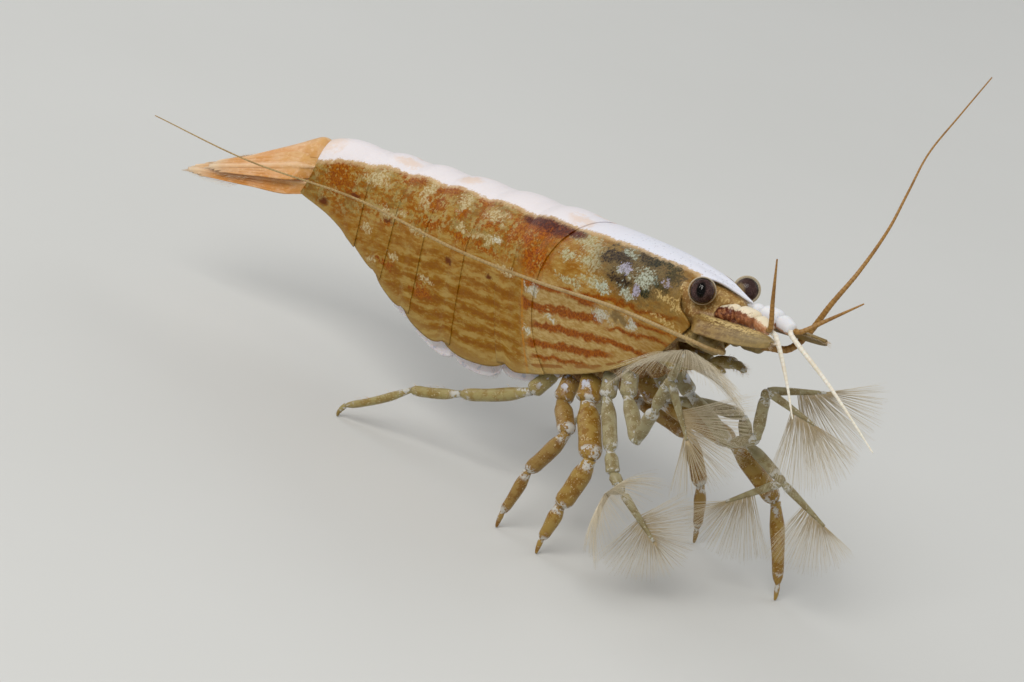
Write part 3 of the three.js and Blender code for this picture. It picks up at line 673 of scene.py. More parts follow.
    # maroon saddle at the carapace's rear edge, and the white stripe along the back
    saddle = paint.blots(even, MAROON, 0.8) * (fine * -1 + 1).rise(0.26, 0.46)
    paint.layer(saddle, tones((96, 36, 2), (66, 20, 0)))
    paint.colour = paint.node("HueSaturation", 0, None, 1.06, 0.95, None, paint.colour)
    beyond = depth - stripe_edge(s) + (fine - 0.5) * 0.6 + (patchy - 0.5) * 0.5 + (grain - 0.5) * 0.5
    paint.layer(beyond.rise(0.5, 0.0) * 0.7, (206, 176, 134))
    tint = paint.mix(s.rise(-6.0, 9.0), (226, 219, 220), (220, 221, 230))
    blushes = ((-0.3, 1.4, 1.6, 0.7), (-15.5, 1.2, 1.2, 0.8), (-32.5, 1.0, 2.0, 1.5), (-23, 1.2, 1.5, 0.6))
    tint = paint.mix(paint.blots(warped, blushes) * 0.5, tint, (222, 190, 160))
    specks = paint.cells(spot, 2.6).rise(0.26, 0.12) * s.rise(2.0, 9.0)
    tint = paint.mix(specks * 0.45, tint, (128, 124, 132))
    stripe = beyond.rise(0.02, -0.25)
    paint.layer(stripe, tint)
    return paint.done(grain * 0.6 + fine * 0.4 + stripe * 0.2, 0.07)


# ---- other materials
def soft_paint(name, roughness, depth, clear=0.0):
    """A wet, slightly translucent surface; light goes about depth mm into it."""
    paint = Paint(name, roughness, IOR=1.3, Subsurface_Weight=0.2, Subsurface_Scale=depth * MM)
    paint.set(Subsurface_Radius=(1.0, 0.75, 0.5), Coat_Weight=0.12, Coat_Roughness=0.15)
    paint.set(Transmission_Weight=clear)
    return paint


def blade_material():
    """The tail fan: peach blades with pale ribs and tips. place holds the share along the blade, the
    share across it from -1 to 1, and the distance from its rib."""
    paint = soft_paint("tail_blade", 0.38, 0.6)
    along, across, rib, _ = paint.place()
    spot = paint.position()
    fine = paint.noise(spot, 3.0, 4.0, 0.6)
    veins = paint.noise(paint.vector(along * 1.2, across), 7.0, 2.0)
    broad = paint.noise(spot, 0.5, 2.0)
    paint.colour = paint.mix(along.rise(0.0, 0.45), (204, 156, 94), (206, 150, 90))
    paint.layer(across.rise(0.1, 0.95) * 0.6, (192, 126, 52))
    paint.layer(broad.rise(0.42, 0.66) * 0.4, (222, 186, 148))
    paint.layer(fine.rise(0.52, 0.66) * 0.35, (230, 196, 156))
    paint.layer(veins.rise(0.5, 0.66) * 0.35, (190, 126, 68))
    paint.layer(abs(rib).rise(0.2, 0.02) * 0.4, (232, 202, 168))
    paint.layer(along.rise(0.75, 1.0) * 0.7, (226, 202, 170))
    return paint.done(veins * 0.6 + fine * 0.4, 0.04)


def limb_material(name, ground, shade, fleck, edge, clear=0.0):
    """Jointed limbs: place holds the article's number plus the share along it, and how far the surface
    faces up. A bright line runs along the lower edge, and white patches lie beside the joints."""
    paint = soft_paint(name, 0.34, 0.4, clear)
    article, lift, _, _ = paint.place()
    spot = paint.position()
    share = article.math("FRACT")
    patchy = paint.noise(spot, 1.2, 3.0)
    fine = paint.noise(spot, 4.5, 4.0, 0.6)
    paint.colour = paint.mix(patchy.rise(0.42, 0.6), ground, shade)
    paint.layer(share.rise(0.55, 0.95) * fine.rise(0.4, 0.58) * 0.8, shade)
    flecks = (paint.noise(spot, 6.0, 3.0, 0.6) * 0.6 + fine * 0.4).rise(0.55, 0.62)
    paint.layer(flecks * patchy.rise(0.4, 0.54) * 0.8, fleck)
    paint.layer(lift.rise(-0.7, -0.97) * 0.6, edge)
    beside_joint = abs(share - 0.5).rise(0.27, 0.4)
    hip = article.rise(0.95, 0.5)
    white = beside_joint * (patchy * 0.6 + fine * 0.4).rise(0.48, 0.55)
    white = white + hip * (patchy * 0.85 + fine * 0.15).rise(0.54, 0.62)
    pale = paint.mix(hip, (206, 206, 200), (204, 208, 222))
    paint.layer(white.rise(0.0, 1.0) * 0.85, pale)
    return paint.done(fine, 0.04)


def stalk_material():
    """The stalks of the upper feelers: white above, dark red-brown beside the root, pinkish tan beyond. The
    third number of place is 1 on the left stalk, which is white farther down."""
    paint = soft_paint("feeler_stalk", 0.36, 0.4)
    article, lift, left, _ = paint.place()
    spot = paint.position()
    fine = paint.noise(spot, 3.2, 4.0, 0.65)
    paint.colour = paint.mix(fine.rise(0.4, 0.6), (196, 150, 112), (164, 106, 66))
    dark = article.rise(2.7, 1.6) * article.rise(0.0, 0.2) * fine.rise(0.62, 0.46)
    paint.layer(dark, paint.mix(article.rise(0.6, 1.6), (86, 34, 18), (118, 66, 36)))
    white = (lift + left * 0.9 + article * 0.1 + (fine - 0.5) * 1.4).rise(0.55, 0.85)
    paint.layer(white, paint.mix(left, (224, 210, 182), (224, 224, 226)))
    return paint.done(fine, 0.04)


def cheek_material():
    """The roots and scales of the long feelers: olive tan with rows of golden flecks. place holds the
    share along and, on a scale, the share across from -1 at its inner, upper edge to 1."""
    paint = Paint("cheek", 0.36, IOR=1.3, Coat_Weight=0.12, Coat_Roughness=0.15)
    along, across, _, _ = paint.place()
    spot = paint.position()
    fine = paint.noise(spot, 3.0, 4.0, 0.65)
    veins = paint.noise(paint.vector(along * 2.0, across), 4.0, 3.0)
    paint.colour = paint.mix(veins.rise(0.42, 0.6), (138, 108, 54), (108, 76, 32))
    paint.layer(along.rise(0.3, 0.95) * 0.6, (126, 112, 72))
    paint.layer(fine.rise(0.5, 0.62) * 0.4, (158, 132, 80))
    flecks = paint.noise(spot, 5.0, 3.0, 0.6) * 0.6 + fine * 0.4 + abs(across + 0.45).rise(0.7, 0.1) * 0.1
    above = across.rise(0.7, -0.3) * along.rise(0.95, 0.7)
    paint.layer(flecks.rise(0.53, 0.6) * above, (206, 180, 122))
    return paint.done(fine * 0.6 + veins * 0.4, 0.04)


def feeler_material(name, ground, shade, clear=0.0):
    """Ringed feelers: place holds the distance along in mm."""
    paint = soft_paint(name, 0.4, 0.3, clear)
    along, _, _, _ = paint.place()
    ring = abs((along * 2.6).math("FRACT") - 0.5)
    patchy = paint.noise(paint.vector(along, 0.0), 0.4)
    fine = paint.noise(paint.position(), 4.0, 2.0)
    paint.colour = paint.mix(ring.rise(0.25, 0.48) * 0.6, ground, shade)
    paint.layer(patchy.rise(0.48, 0.66) * 0.7, shade)
    paint.layer(fine.rise(0.5, 0.66) * 0.4, shade)
    return paint.done(ring, 0.02)


def bristle_material(name, root, tip, odd):
    """Bristles: place holds the share along each and a random number of its own."""
    paint = Paint(name, 0.45)
    along, chance, _, _ = paint.place()
    paint.colour = paint.mix(along.rise(0.0, 0.5), root, tip)
    paint.layer(chance.rise(0.55, 1.0) * 0.6, odd)
    return paint.done()


def flesh_material():
    """Soft flesh: olive tan on the head, with opaque bluish-white patches on the hips."""
    paint = soft_paint("flesh", 0.4, 0.7)
    spot = paint.position()
    height = paint.node("SeparateXYZ", 2, spot)
    patchy = paint.noise(spot, 0.9, 4.0)
    fine = paint.noise(spot, 3.2, 4.0, 0.65)
    paint.colour = paint.mix(patchy.rise(0.4, 0.6), (156, 124, 70), (132, 94, 46))
    flecks = paint.noise(spot, 5.0, 3.0, 0.6) * 0.6 + fine * 0.4
    flecks = flecks.rise(0.51, 0.59) * height.rise(HIP_HEIGHT, HIP_HEIGHT + 6)
    paint.layer(flecks * 0.75, (196, 168, 112))
    hips = height.rise(HIP_HEIGHT + 2.5, HIP_HEIGHT + 0.5)
    paint.layer(hips * (patchy * 0.7 + fine * 0.3).rise(0.47, 0.54), (200, 206, 216))
    return paint.done(fine, 0.05)


def eye_core_material():
    """The eye's dark ball: place is the direction from its centre, forwards, outwards and up."""
    paint = Paint("eye_core", 0.4, IOR=1.15)
    ahead, outward, above, _ = paint.place()
    facets = paint.cells(paint.position(), 8.0)
    paint.colour = paint.mix(facets.rise(0.15, 0.6), (122, 104, 116), (84, 66, 78))
    paint.layer(above.rise(0.3, 0.95) * 0.5, (62, 46, 54))
    across = ahead * PUPIL[1] - outward * PUPIL[0]
    facing = ahead * PUPIL[0] + outward * PUPIL[1] + above * PUPIL[2]
    tall = (above - PUPIL[2]) * 0.6
    away = (across * across + tall * tall).math("SQRT")
    paint.layer(away.rise(0.5, 0.3) * facing.rise(0.2, 0.5), (6, 4, 6))
    paint.layer(outward.rise(-0.7, -0.92), (190, 178, 156))
    return paint.done()


def cornea_material():
    """Clear skin of the eye, milky where it is seen edge on."""
    paint = Paint("cornea", 0.06, IOR=1.04, Coat_Weight=0.3, Coat_Roughness=0.03)
    edge_on = paint.node("LayerWeight", 1, 0.5)
    paint.set(Base_Color=srgb(184, 168, 140), Transmission_Weight=edge_on.rise(0.78, 0.48))
    return paint.material


PUPIL = (0.62, 0.75, 0.2)
HIP_HEIGHT = 11.5  # height of the hips' lower ends above the floor
SHELL = shell_material()
BLADE = blade_material()
FLESH = flesh_material()
GOLD_LEG = limb_material("gold_leg", (162, 132, 66), (138, 98, 30), (220, 206, 160), (206, 158, 60), 0.12)
TAN_LEG = limb_material("tan_leg", (154, 124, 66), (132, 94, 36), (208, 194, 150), (214, 176, 84), 0.15)
OLIVE_LEG = limb_material(
    "olive_leg", (166, 152, 100), (148, 124, 66), (214, 206, 166), (204, 188, 128), 0.2)
ARM = limb_material("arm", (160, 150, 114), (138, 122, 82), (208, 202, 178), (200, 186, 140), 0.12)
STALK = stalk_material()
CHEEK = cheek_material()
BROWN_FEELER = feeler_material("brown_feeler", (164, 124, 66), (128, 88, 38), 0.1)
PALE_FEELER = feeler_material("pale_feeler", (178, 152, 104), (150, 120, 72), 0.15)
WHITE_FEELER = feeler_material("white_feeler", (232, 226, 212), (216, 204, 182))
FAN_BRISTLE = bristle_material("fan_bristle", (184, 164, 126), (212, 200, 174), (162, 144, 112))
FRINGE = bristle_material("fringe_bristle", (206, 160, 112), (226, 208, 180), (190, 150, 110))
LEAF_FRINGE = bristle_material("leaf_fringe_bristle", (222, 208, 202), (236, 230, 226), (206, 190, 182))
LEAF = limb_material("leaf", (244, 238, 242), (238, 226, 228), (250, 246, 248), (240, 222, 220))
EYE_CORE = eye_core_material()
CORNEA = cornea_material()


# ---- carapace
# Thickness of the visible shell: in general, at the plates' edges, and at the carapace's front edge. It
# thins towards the edges over the distance THINNING.
WALL = 0.25
EDGE_WALL = 0.09
FRONT_WALL = 0.4
THINNING = 2.6
# Depths of the shallow grooves along the carapace's front and rear edges, and along the beak.
FRONT_GROOVE = 0.05
REAR_GROOVE = 0.06
BEAK_GROOVE = 0.12


def carapace():
    u, v = blade_grid(0, 1, 180, 261)
    v = np.sign(v) * np.abs(v) ** 1.5  # bunches the columns towards the midline, where the beak is
    t = np.abs(v)
    s = lerp(joint_station(0, t), profile(CARAPACE_FRONT, t), u)
    y, z = shell_outline(s, t, profile(DEPTH, s))
    points = body_point(s, np.sign(v) * y, profile(TOP, s) + z)
    to_front = profile(CARAPACE_FRONT, t) - s
    to_rear = s - joint_station(0, t)
    to_side = (1 - t) * profile(DEPTH, s) * 0.6
    groove = FRONT_GROOVE * ridge(np.minimum(to_front, to_side), 0.3) * smooth(y, 0.4, 1.2)
    groove = groove + REAR_GROOVE * ridge(to_rear, 0.25)
    beak = BEAK_GROOVE * ridge(y, 0.45) * smooth(s, 9, 16)
    points = points + surface_normals(points) * (groove + beak)[..., None]
    wall = lerp(EDGE_WALL, WALL, smooth(np.minimum(to_rear, to_side), 0.0, THINNING))
    added = (FRONT_WALL - WALL) * smooth(to_front, 1.2, 0.0)
    added = added * smooth(t, 0.12, 0.25) * smooth(to_side, 0.0, 0.8)
    place = (s, flank_arc(s, t), t)
    sheet_piece("shell_carapace", points, place, wall + added, SHELL, "carapace", "carapace")


# ---- abdomen
OVERLAP = 1.1  # each plate's front edge lies this far ahead of its joint
DRAWN_IN = 0.11  # its rear edge is drawn in by this
PUSHED_OUT = 0.17  # its front edge is pushed out by this, so it comes through the plate ahead or over it
HUMP = 0.3  # and its middle is arched by this on the back


def plate(k):
    u, v = blade_grid(0, 1, 70, 181)
    t = np.abs(v)
    lobe = smooth(t, 0.44, 0.6)  # there plate 1 runs on behind the joint, and plate 2 starts at it
    past_front = OVERLAP * (1 - lobe if k == 2 else 1)
    past_rear = OVERLAP * (lobe if k == 1 else 0)
    front = joint_station(k - 1, t)
    rear = joint_station(k, t)
    s = lerp(rear - past_rear, front + past_front, u)
    inside = np.clip((s - rear) / (front - rear), 0, 1)
    rounding = LOBE_ROUNDING * np.abs(2 * inside - 1) ** 3 if k < 6 else 0
    rounding = rounding * (inside < 0.5) if k == 1 else rounding
    depth = profile(DEPTH, s) * (1 - rounding * smooth(t, 0.5, 1))
    y, z = shell_outline(s, t, depth)
    hump = HUMP * np.sin(math.pi * inside) * np.cos(t * math.pi / 2)
    points = body_point(s, np.sign(v) * y, profile(TOP, s) + z + hump)
    front_lobe = lobe if k == 2 else 0
    rear_lobe = lobe if k == 1 else 0
    outwards = PUSHED_OUT * smooth(s, front - 0.9, front + 0.2) * (1 - front_lobe)
    outwards = outwards + PUSHED_OUT * smooth(s, rear + 0.9, rear - 0.2) * rear_lobe
    inwards = DRAWN_IN * ridge(s - rear, 0.4) * (1 - rear_lobe)
    inwards = inwards + DRAWN_IN * ridge(s - front, 0.4) * front_lobe
    points = points + surface_normals(points) * (inwards - outwards)[..., None]
    to_edge = np.minimum(np.minimum(u, 1 - u) * (front - rear + OVERLAP), (1 - t) * 9)
    wall = lerp(EDGE_WALL, WALL, smooth(to_edge, 0.0, THINNING))
    place = (s, flank_arc(s, t), t)
    sheet_piece(f"shell_abdomen_{k}", points, place, wall, SHELL, "abdomen_shell", f"abdomen_{k}")


# ---- flesh
EYE_STALK_ROOT = np.array((17.1, 0.75, -2.9))
HIP_RADII = (1.5, 1.0)
EYE_STALK_RADII = np.array((0.8, 0.6, 0.5, 0.5, 0.62, 0.8))
FLESH_VOXEL = 0.24


def flesh():
    """One skin for the thorax, the belly between the side plates, the hips and the eye stalks: closed
    tubes melted together by a voxel remesh."""
    solid = Solid()

    def lump(start, end, wide, thick, swelling, rows, sides=20):
        """A tube with rounded ends; its width follows the part of a sine wave between two angles."""
        swell = np.sqrt(np.sin(np.linspace(*swelling, rows)))
        solid.tube(np.linspace(start, end, rows), wide * swell, thick * swell, (0, 1, 0), sides=sides)

    s = np.linspace(-31.8, 16.3, 60)
    back, depth = profile(TOP, s), profile(DEPTH, s)
    tail = smooth(s, -26, -31)
    slim = lerp(lerp(0.9, 0.97, smooth(s, -27, -31)), 0.82, smooth(s, -2, 1))
    wide = (profile(HALF_WIDTH, s) - lerp(1.0, 0.35, tail)) * slim
    top = back - lerp(1.2, 0.45, tail)
    belly = back - depth * lerp(BELLY_SHARE, 0.9, tail) + 0.2
    thorax = back - depth + 1.9
    bottom = lerp(belly, thorax, smooth(s, -2.5, 1.5))
    solid.tube(body_point(s, 0 * s, (top + bottom) / 2), wide, (top - bottom) / 2, (0, 1, 0), sides=28)
    for points in [*LEGS.values(), *ARMS.values()]:
        hip, knee = np.array(points[0]), np.array(points[1])
        inner = hip * (1, 0.4, 1) + (0, 0, 2.2)
        path = np.linspace(inner, lerp(hip, knee, 0.3), 7)
        radius = np.linspace(*HIP_RADII, 7)
        solid.tube(path, radius, radius * 0.9, (1, 0, 0))
    for _, sign in SIDES:
        centre = EYE * (1, sign, 1)
        root = EYE_STALK_ROOT * (1, sign, 1)
        path = np.linspace((15.4, sign * 0.4, -3.6), lerp(root, centre, 0.55), 6)
        solid.tube(path, EYE_STALK_RADII, EYE_STALK_RADII, (0, 0, 1))
        # the orbit
        lump((14.6, sign * 2.0, -3.0), (17.1, sign * 2.45, -3.1), 1.15, 1.35, (0.5, 2.9), 10)
    # the head between the eyes, the brow above it and the mouth below
    head_width = lerp(3.15, 2.5, smooth(np.linspace(14.5, 19.7, 14), 16.8, 19.7))
    lump((14.5, 0, -4.4), (19.7, 0, -4.5), head_width, 1.35, (0.5, 2.95), 14, 24)
    lump((15.5, 0, -2.6), (20.6, 0, -3.1), 1.4, 0.95, (0.6, 2.95), 12)
    lump((12.5, 0, -6.8), (17.4, 0, -6.1), 2.1, 1.25, (0.6, 2.95), 12)
    raw = add_object("flesh_raw", bpy.data.meshes.new("flesh_raw"))
    points = to_world(np.concatenate(solid.points))
    raw.data.from_pydata(points.tolist(), [], [face.tolist() for faces in solid.faces for face in faces])
    remesh = raw.modifiers.new("melt", "REMESH")
    remesh.mode = "VOXEL"
    remesh.voxel_size = FLESH_VOXEL * MM
    remesh.use_smooth_shade = True
    relax = raw.modifiers.new("relax", "SMOOTH")
    relax.iterations = 8
    relax.factor = 0.6
    melted = bpy.data.meshes.new_from_object(raw.evaluated_get(bpy.context.evaluated_depsgraph_get()))
    bpy.data.objects.remove(raw)
    melted.materials.clear()
    finish_piece("flesh_skin", melted, FLESH, ["thorax", "eye_stalk_right", "eye_stalk_left"])


# ---- bristles along edges and limbs
HAIR_RADIUS = 0.014


def add_fringe(solid, edge, outward, length, radius, places):
    """Bristles along an edge: its points, the directions that they point in, and their length."""
    count = len(edge)
    outward = unit(outward + rng.normal(0, 0.06, (count, 3)))
    tips = edge + outward * (length * rng.uniform(0.8, 1.0, count))[:, None]
    solid.strands(bowed(edge, tips, rng.normal(0, 0.04, (count, 3)), 4), radius, places)


def add_hairs(solid, joints, radii, count, length, row):
    """Short hairs scattered over the articles between joints, leaning towards their ends. row is the
    limb's own strip of the bake map, from 0 to 1."""
    joints = np.array(joints, float)
    radii = np.array(radii)
    i = rng.integers(0, len(joints) - 1, count)
    u = rng.uniform(0.1, 0.95, count)
    start, end = joints[i], joints[i + 1]
    along = unit(end - start)
    out = unit(np.cross(along, rng.normal(0, 1, (count, 3))))
    skin = lerp(radii[i], radii[i + 1], u) * 0.8
    roots = start + (end - start) * u[:, None] + out * skin[:, None]
    tips = roots + (along * 0.8 + out * 0.6) * (length * rng.uniform(0.6, 1.0, count))[:, None]
    places = np.stack(((i + u) / len(joints), row + 0.05 * rng.random(count)), 1)
    solid.strands(bowed(roots, tips, np.zeros((count, 3)), 3), HAIR_RADIUS, places)


# ---- tail fan
TAIL_DROOP = math.radians(24)
FIN_TILT = math.radians(50)
last_joint, tail_forward, tail_left, tail_up = frame_at(-ABDOMEN_LENGTH)
tail_origin = last_joint - tail_forward * 0.3
tail_back = -tail_forward * math.cos(TAIL_DROOP) - tail_up * math.sin(TAIL_DROOP)
tail_over = unit(np.cross(tail_left, tail_back))
TELSON_ROOT = 0.55
TELSON_LENGTH = 9.0
TELSON_HALF_WIDTHS = (2.5, 0.75)
TELSON_FRINGE = (1.0, 0.018)  # length and radius of the bristles
UROPOD_FRINGE = (0.9, 0.015)
UROPODS = {
    "inner": {"root": 2.2, "tip": 12.6, "rise": 0.15, "y": 0.0, "z": 0.25, "half": 1.3, "below": 0.5},
    "outer": {"root": 3.0, "tip": 15.2, "rise": 0.26, "y": -0.35, "z": -1.7, "half": 1.25, "below": 0.7},
}


def tail_point(x, y, z):
    x, y, z = (np.asarray(value)[..., None] for value in (x, y, z))
    return tail_origin + x * tail_back + y * tail_left + z * tail_over


def tucked(points, below):
    """Draws the part of a blade that lies beside the last plate in under it, by the distance below."""
    offset = points - last_joint
    top, depth = profile(TOP, -ABDOMEN_LENGTH), profile(DEPTH, -ABDOMEN_LENGTH)
    middle = top - 0.5 * depth
    y, z = offset @ tail_left, offset @ tail_up - middle
    t = np.linspace(0, 1, 60)
    plate_y, plate_z = shell_outline(np.full(60, -ABDOMEN_LENGTH), t, depth)
    plate_z = plate_z + top - middle
    turn = np.arctan2(plate_y, plate_z)
    here = np.arctan2(np.abs(y), z)
    limit = np.interp(here, turn, np.hypot(plate_y, plate_z)) - below
    edge = joint_station(6, np.interp(here, turn, t))
    beside = smooth(offset @ tail_forward - ABDOMEN_LENGTH, edge - 1.6, edge - 0.1)
    drawn = (np.minimum(1.0, limit / np.hypot(y, z)) - 1) * beside
    return points + (y * drawn)[..., None] * tail_left + (np.maximum(z, 0) * drawn)[..., None] * tail_up


def telson(fringe):
    u, v = blade_grid(-0.16, 1, 90, 61)
    tip = rounded_tip(u, 0.9, 0.03)
    half = lerp(*TELSON_HALF_WIDTHS, np.clip(u, 0, 1) ** 0.6) * tip
    arch = 0.5 * (1 - v * v) * (1 - 0.4 * u) - 1.25 * v * v * smooth(u, 0.8, 0.0)
    groove = 0.08 * ridge(v, 0.18) * smooth(u, 0.1, 0.4)
    rows = 0.06 * ridge(np.abs(v) - 0.55, 0.14)
    height = -0.2 - 0.35 * u + arch + rows - groove
    points = tucked(tail_point(TELSON_ROOT + TELSON_LENGTH * u, half * v, height), 0.3)
    wall = lerp(0.8, 0.3, np.clip(u * 2, 0, 1)) * (1 - 0.45 * v * v)
    sheet_piece("telson_blade", points, (u, 0.6 * v * v, v * half), wall, BLADE, "tail_fan", "telson")
    q = np.linspace(-1, 1, 44)
    edge = tail_point(TELSON_ROOT + TELSON_LENGTH * (0.99 - 0.07 * q * q), 0.7 * q, np.full(44, -0.4))
    places = np.stack((0.1 + 0.04 * q, np.full(44, 0.95)), 1)
    add_fringe(fringe, edge, tail_back + tail_left * (q * 0.5)[:, None], *TELSON_FRINGE, places)


def uropod(part, name, sign, fringe):
    """A blade with a rib, and the fleshy base that joins it to the last plate."""
    fin = UROPODS[part]

    def place_at(u, v, lift=0.0):
        x = lerp(fin["root"], fin["tip"], u)
        tip = rounded_tip(u, 0.86, 0.02)
        whole = np.clip(u, 0, 1)
        half = fin["half"] * (0.5 + 0.62 * np.sin(math.pi * (0.12 + 0.8 * whole))) * (1 - 0.35 * whole)
        half = half * tip * lerp(1.0, 1.5, smooth(u, 0.5, 0.0))
        y = 2.5 - 0.065 * x + fin["y"] + v * half * math.cos(FIN_TILT) + lift * math.sin(FIN_TILT)
        z = fin["rise"] * x - 2.8 + fin["z"]
        z = z - v * half * math.sin(FIN_TILT) + lift * math.cos(FIN_TILT)
        points = tail_point(x - 0.6 * v * v * whole, sign * y, z)
        return tucked(points, fin["below"]), v * half

    u, v = blade_grid(-0.3, 1, 96, 49)
    rib = 0.14 * ridge(v, 0.16) * (1 - 0.7 * np.clip(u, 0, 1))
    ripple = 0.02 * np.sin(v * 22) * smooth(u, 0.1, 0.4)
    points, across = place_at(u, v, 0.1 + rib + ripple)
    node = f"uropod_{part}_{name}"
    sheet_piece(node + "_blade", points, (u, v, across), 0.2 + rib, BLADE, "tail_fan", node, -sign)
    q = np.linspace(-1, 1, 90)
    u_edge = 1 - 0.42 * np.abs(q) ** 1.6
    edge, _ = place_at(u_edge, np.sign(q) * np.minimum(np.abs(q) * 1.6, 0.98))
    middle, _ = place_at(u_edge - 0.12, 0 * q)
    row = 0.25 + 0.15 * (2 * (part == "inner") + (sign > 0))
    places = np.stack((row + 0.05 * q, u_edge * 0.99), 1)
    add_fringe(fringe, edge, unit(edge - middle) + tail_back * 0.8, *UROPOD_FRINGE, places)


# ---- eyes
CORE_SHARE = 0.77  # radii of the dark ball and of the clear skin, as shares of the eye's
CORNEA_SHARE = 0.97


def eye(name, sign):
    centre = EYE * (1, sign, 1)
    axis = unit(centre - EYE_STALK_ROOT * (1, sign, 1))
    for kind, share, material in (("core", CORE_SHARE, EYE_CORE), ("cornea", CORNEA_SHARE, CORNEA)):
        radius = EYE_RADIUS * share
        angle = np.linspace(0.02, math.pi - 0.02, 40)
        path = centre + axis * (-np.cos(angle) * radius)[:, None]
        solid = Solid()
        solid.tube(path, np.sin(angle) * radius, np.sin(angle) * radius, (0, 0.3, 1), sides=48)
        solid.places = [unit(solid.points[0] - centre) * (1, sign, 1)]
        solid.make(f"eye_{name}_{kind}", material, "eye", [f"eye_{name}"] if kind == "cornea" else ())


# ---- jointed limbs
NECK = 0.62  # how narrow an article starts, as a share of its width
OVERRUN = 0.12  # it ends this far beyond its joint


def articles(solid, joints, radii, tone=0.0, side=(0.2, 1, 0.1), flat=0.85, flare=1.08):
    """Adds one closed tapering tube for each article between two joints. Each starts narrow inside the
    end of the one before it. flat is its thickness as a share of its width."""
    joints = [np.array(j, float) for j in joints]
    u = 1 - (1 - np.linspace(0, 1, 30)) ** 1.3
    for i, (start, end) in enumerate(zip(joints, joints[1:])):
        length = np.linalg.norm(end - start)
        reach = end + (end - start) / length * OVERRUN
        neck = lerp(NECK, 1.0, smooth(u, 0.0, 0.35))
        lip = 1 + (flare - 1) * ridge(u - 0.82, 0.1)
        closed = rounded_tip(u, 0.86, 0.06)
        radius = lerp(radii[i], radii[i + 1], u) * neck * lip * closed * (1 + 0.08 * np.sin(math.pi * u))
        bend = unit(np.cross(end - start, side)) * 0.03 * length
        path = start + (reach - start) * u[:, None] + bend * np.sin(math.pi * u)[:, None]
        solid.tube(path, radius, radius * flat, side, i + u * 0.999, tone, 20)


def jointed(node, joints, radii, material, slot, **shape):
    """A piece of articles alone."""
    solid = Solid()
    articles(solid, joints, radii, **shape)
    solid.make(node + "_shell", material, slot, [node])


# ---- walking legs
CLAW = 1.3  # length
CLAW_BEND = 0.28
CLAW_RADII = (0.3, 0.1)
SPINE_RADII = (0.07, 0.05, 0.035, 0.015)
LEG_HAIRS = 80
LEG_HAIR = 0.55  # length
# Joints from the hip to the wrist, then where on the floor the claw stands.
LEGS = {
    "leg_3_right": (
        (5.2, -2.5, -12.3), (6.4, -3.8, -15.0), (10.7, -6.3, -19.0), (8.7, -7.3, -23.7), (7.0, -7.9),
    ),
    "leg_4_right": (
        (2.8, -2.5, -13.0), (3.4, -4.2, -15.7), (6.9, -6.1, -17.6), (4.2, -7.7, -21.7), (2.2, -8.8),
    ),
    "leg_5_right": (
        (0.4, -2.4, -13.3), (-1.1, -4.0, -15.9), (-7.6, -6.8, -17.7), (-12.2, -8.9, -18.4), (-19.0, -11.8),
    ),
    "leg_3_left": (
        (5.2, 2.5, -12.3), (7.0, 4.0, -14.9), (13.4, 8.0, -17.4), (17.1, 10.6, -22.0), (17.8, 11.6),
    ),
    "leg_4_left": (
        (2.8, 2.5, -13.0), (3.6, 4.2, -15.7), (8.1, 7.4, -18.0), (8.4, 9.4, -22.8), (7.3, 10.6),
    ),
    "leg_5_left": (
        (0.4, 2.4, -13.3), (-0.9, 4.0, -16.1), (-5.4, 8.0, -19.0), (-8.7, 10.2, -20.8), (-14.5, 13.2),
    ),
}
LEG_RADII = {
    "3": (0.95, 1.05, 0.95, 0.8, 0.42),
    "4": (0.85, 0.82, 0.76, 0.66, 0.36),
    "5": (0.8, 0.75, 0.6, 0.5, 0.34),
}
LEG_MATERIALS = {"3": GOLD_LEG, "4": TAN_LEG, "5": OLIVE_LEG}


def leg(name, points, hairs, row):
    number = name[4]
    radii = LEG_RADII[number]
    joints = [np.array(p) for p in points[:-1]]
    foot_x, foot_y = points[-1]
    foot = np.array((foot_x, foot_y, (FLOOR - foot_x * math.sin(PITCH)) / math.cos(PITCH)))
    outward = unit(foot - joints[-1])
    ankle = foot - outward * CLAW * 0.5 + UP * CLAW * 0.75
    solid = Solid()
    articles(solid, [*joints, ankle], radii)
    u = np.linspace(0, 1, 12)
    claw = ankle + (foot - ankle) * u[:, None] + outward * (CLAW_BEND * np.sin(math.pi * u))[:, None]
    radius = lerp(*CLAW_RADII, u) * lerp(0.75, 1.0, smooth(u, 0, 0.2))
    solid.tube(claw + UP * (0.1 * u)[:, None], radius, radius, (1, 0.2, 0), 5 + 0.5 * u)
    for q in (0.35, 0.6, 0.8):
        base = ankle + (foot - ankle) * q + outward * 0.2
        spine = np.linspace(base, base - outward * 0.35 - UP * 0.05, 4)
        solid.tube(spine, SPINE_RADII, SPINE_RADII, (1, 0, 0), 5.5, sides=6)
    solid.make(name + "_shell", LEG_MATERIALS[number], "leg", [name])
    add_hairs(hairs, [*joints[1:], ankle], radii[1:], LEG_HAIRS, LEG_HAIR, row)


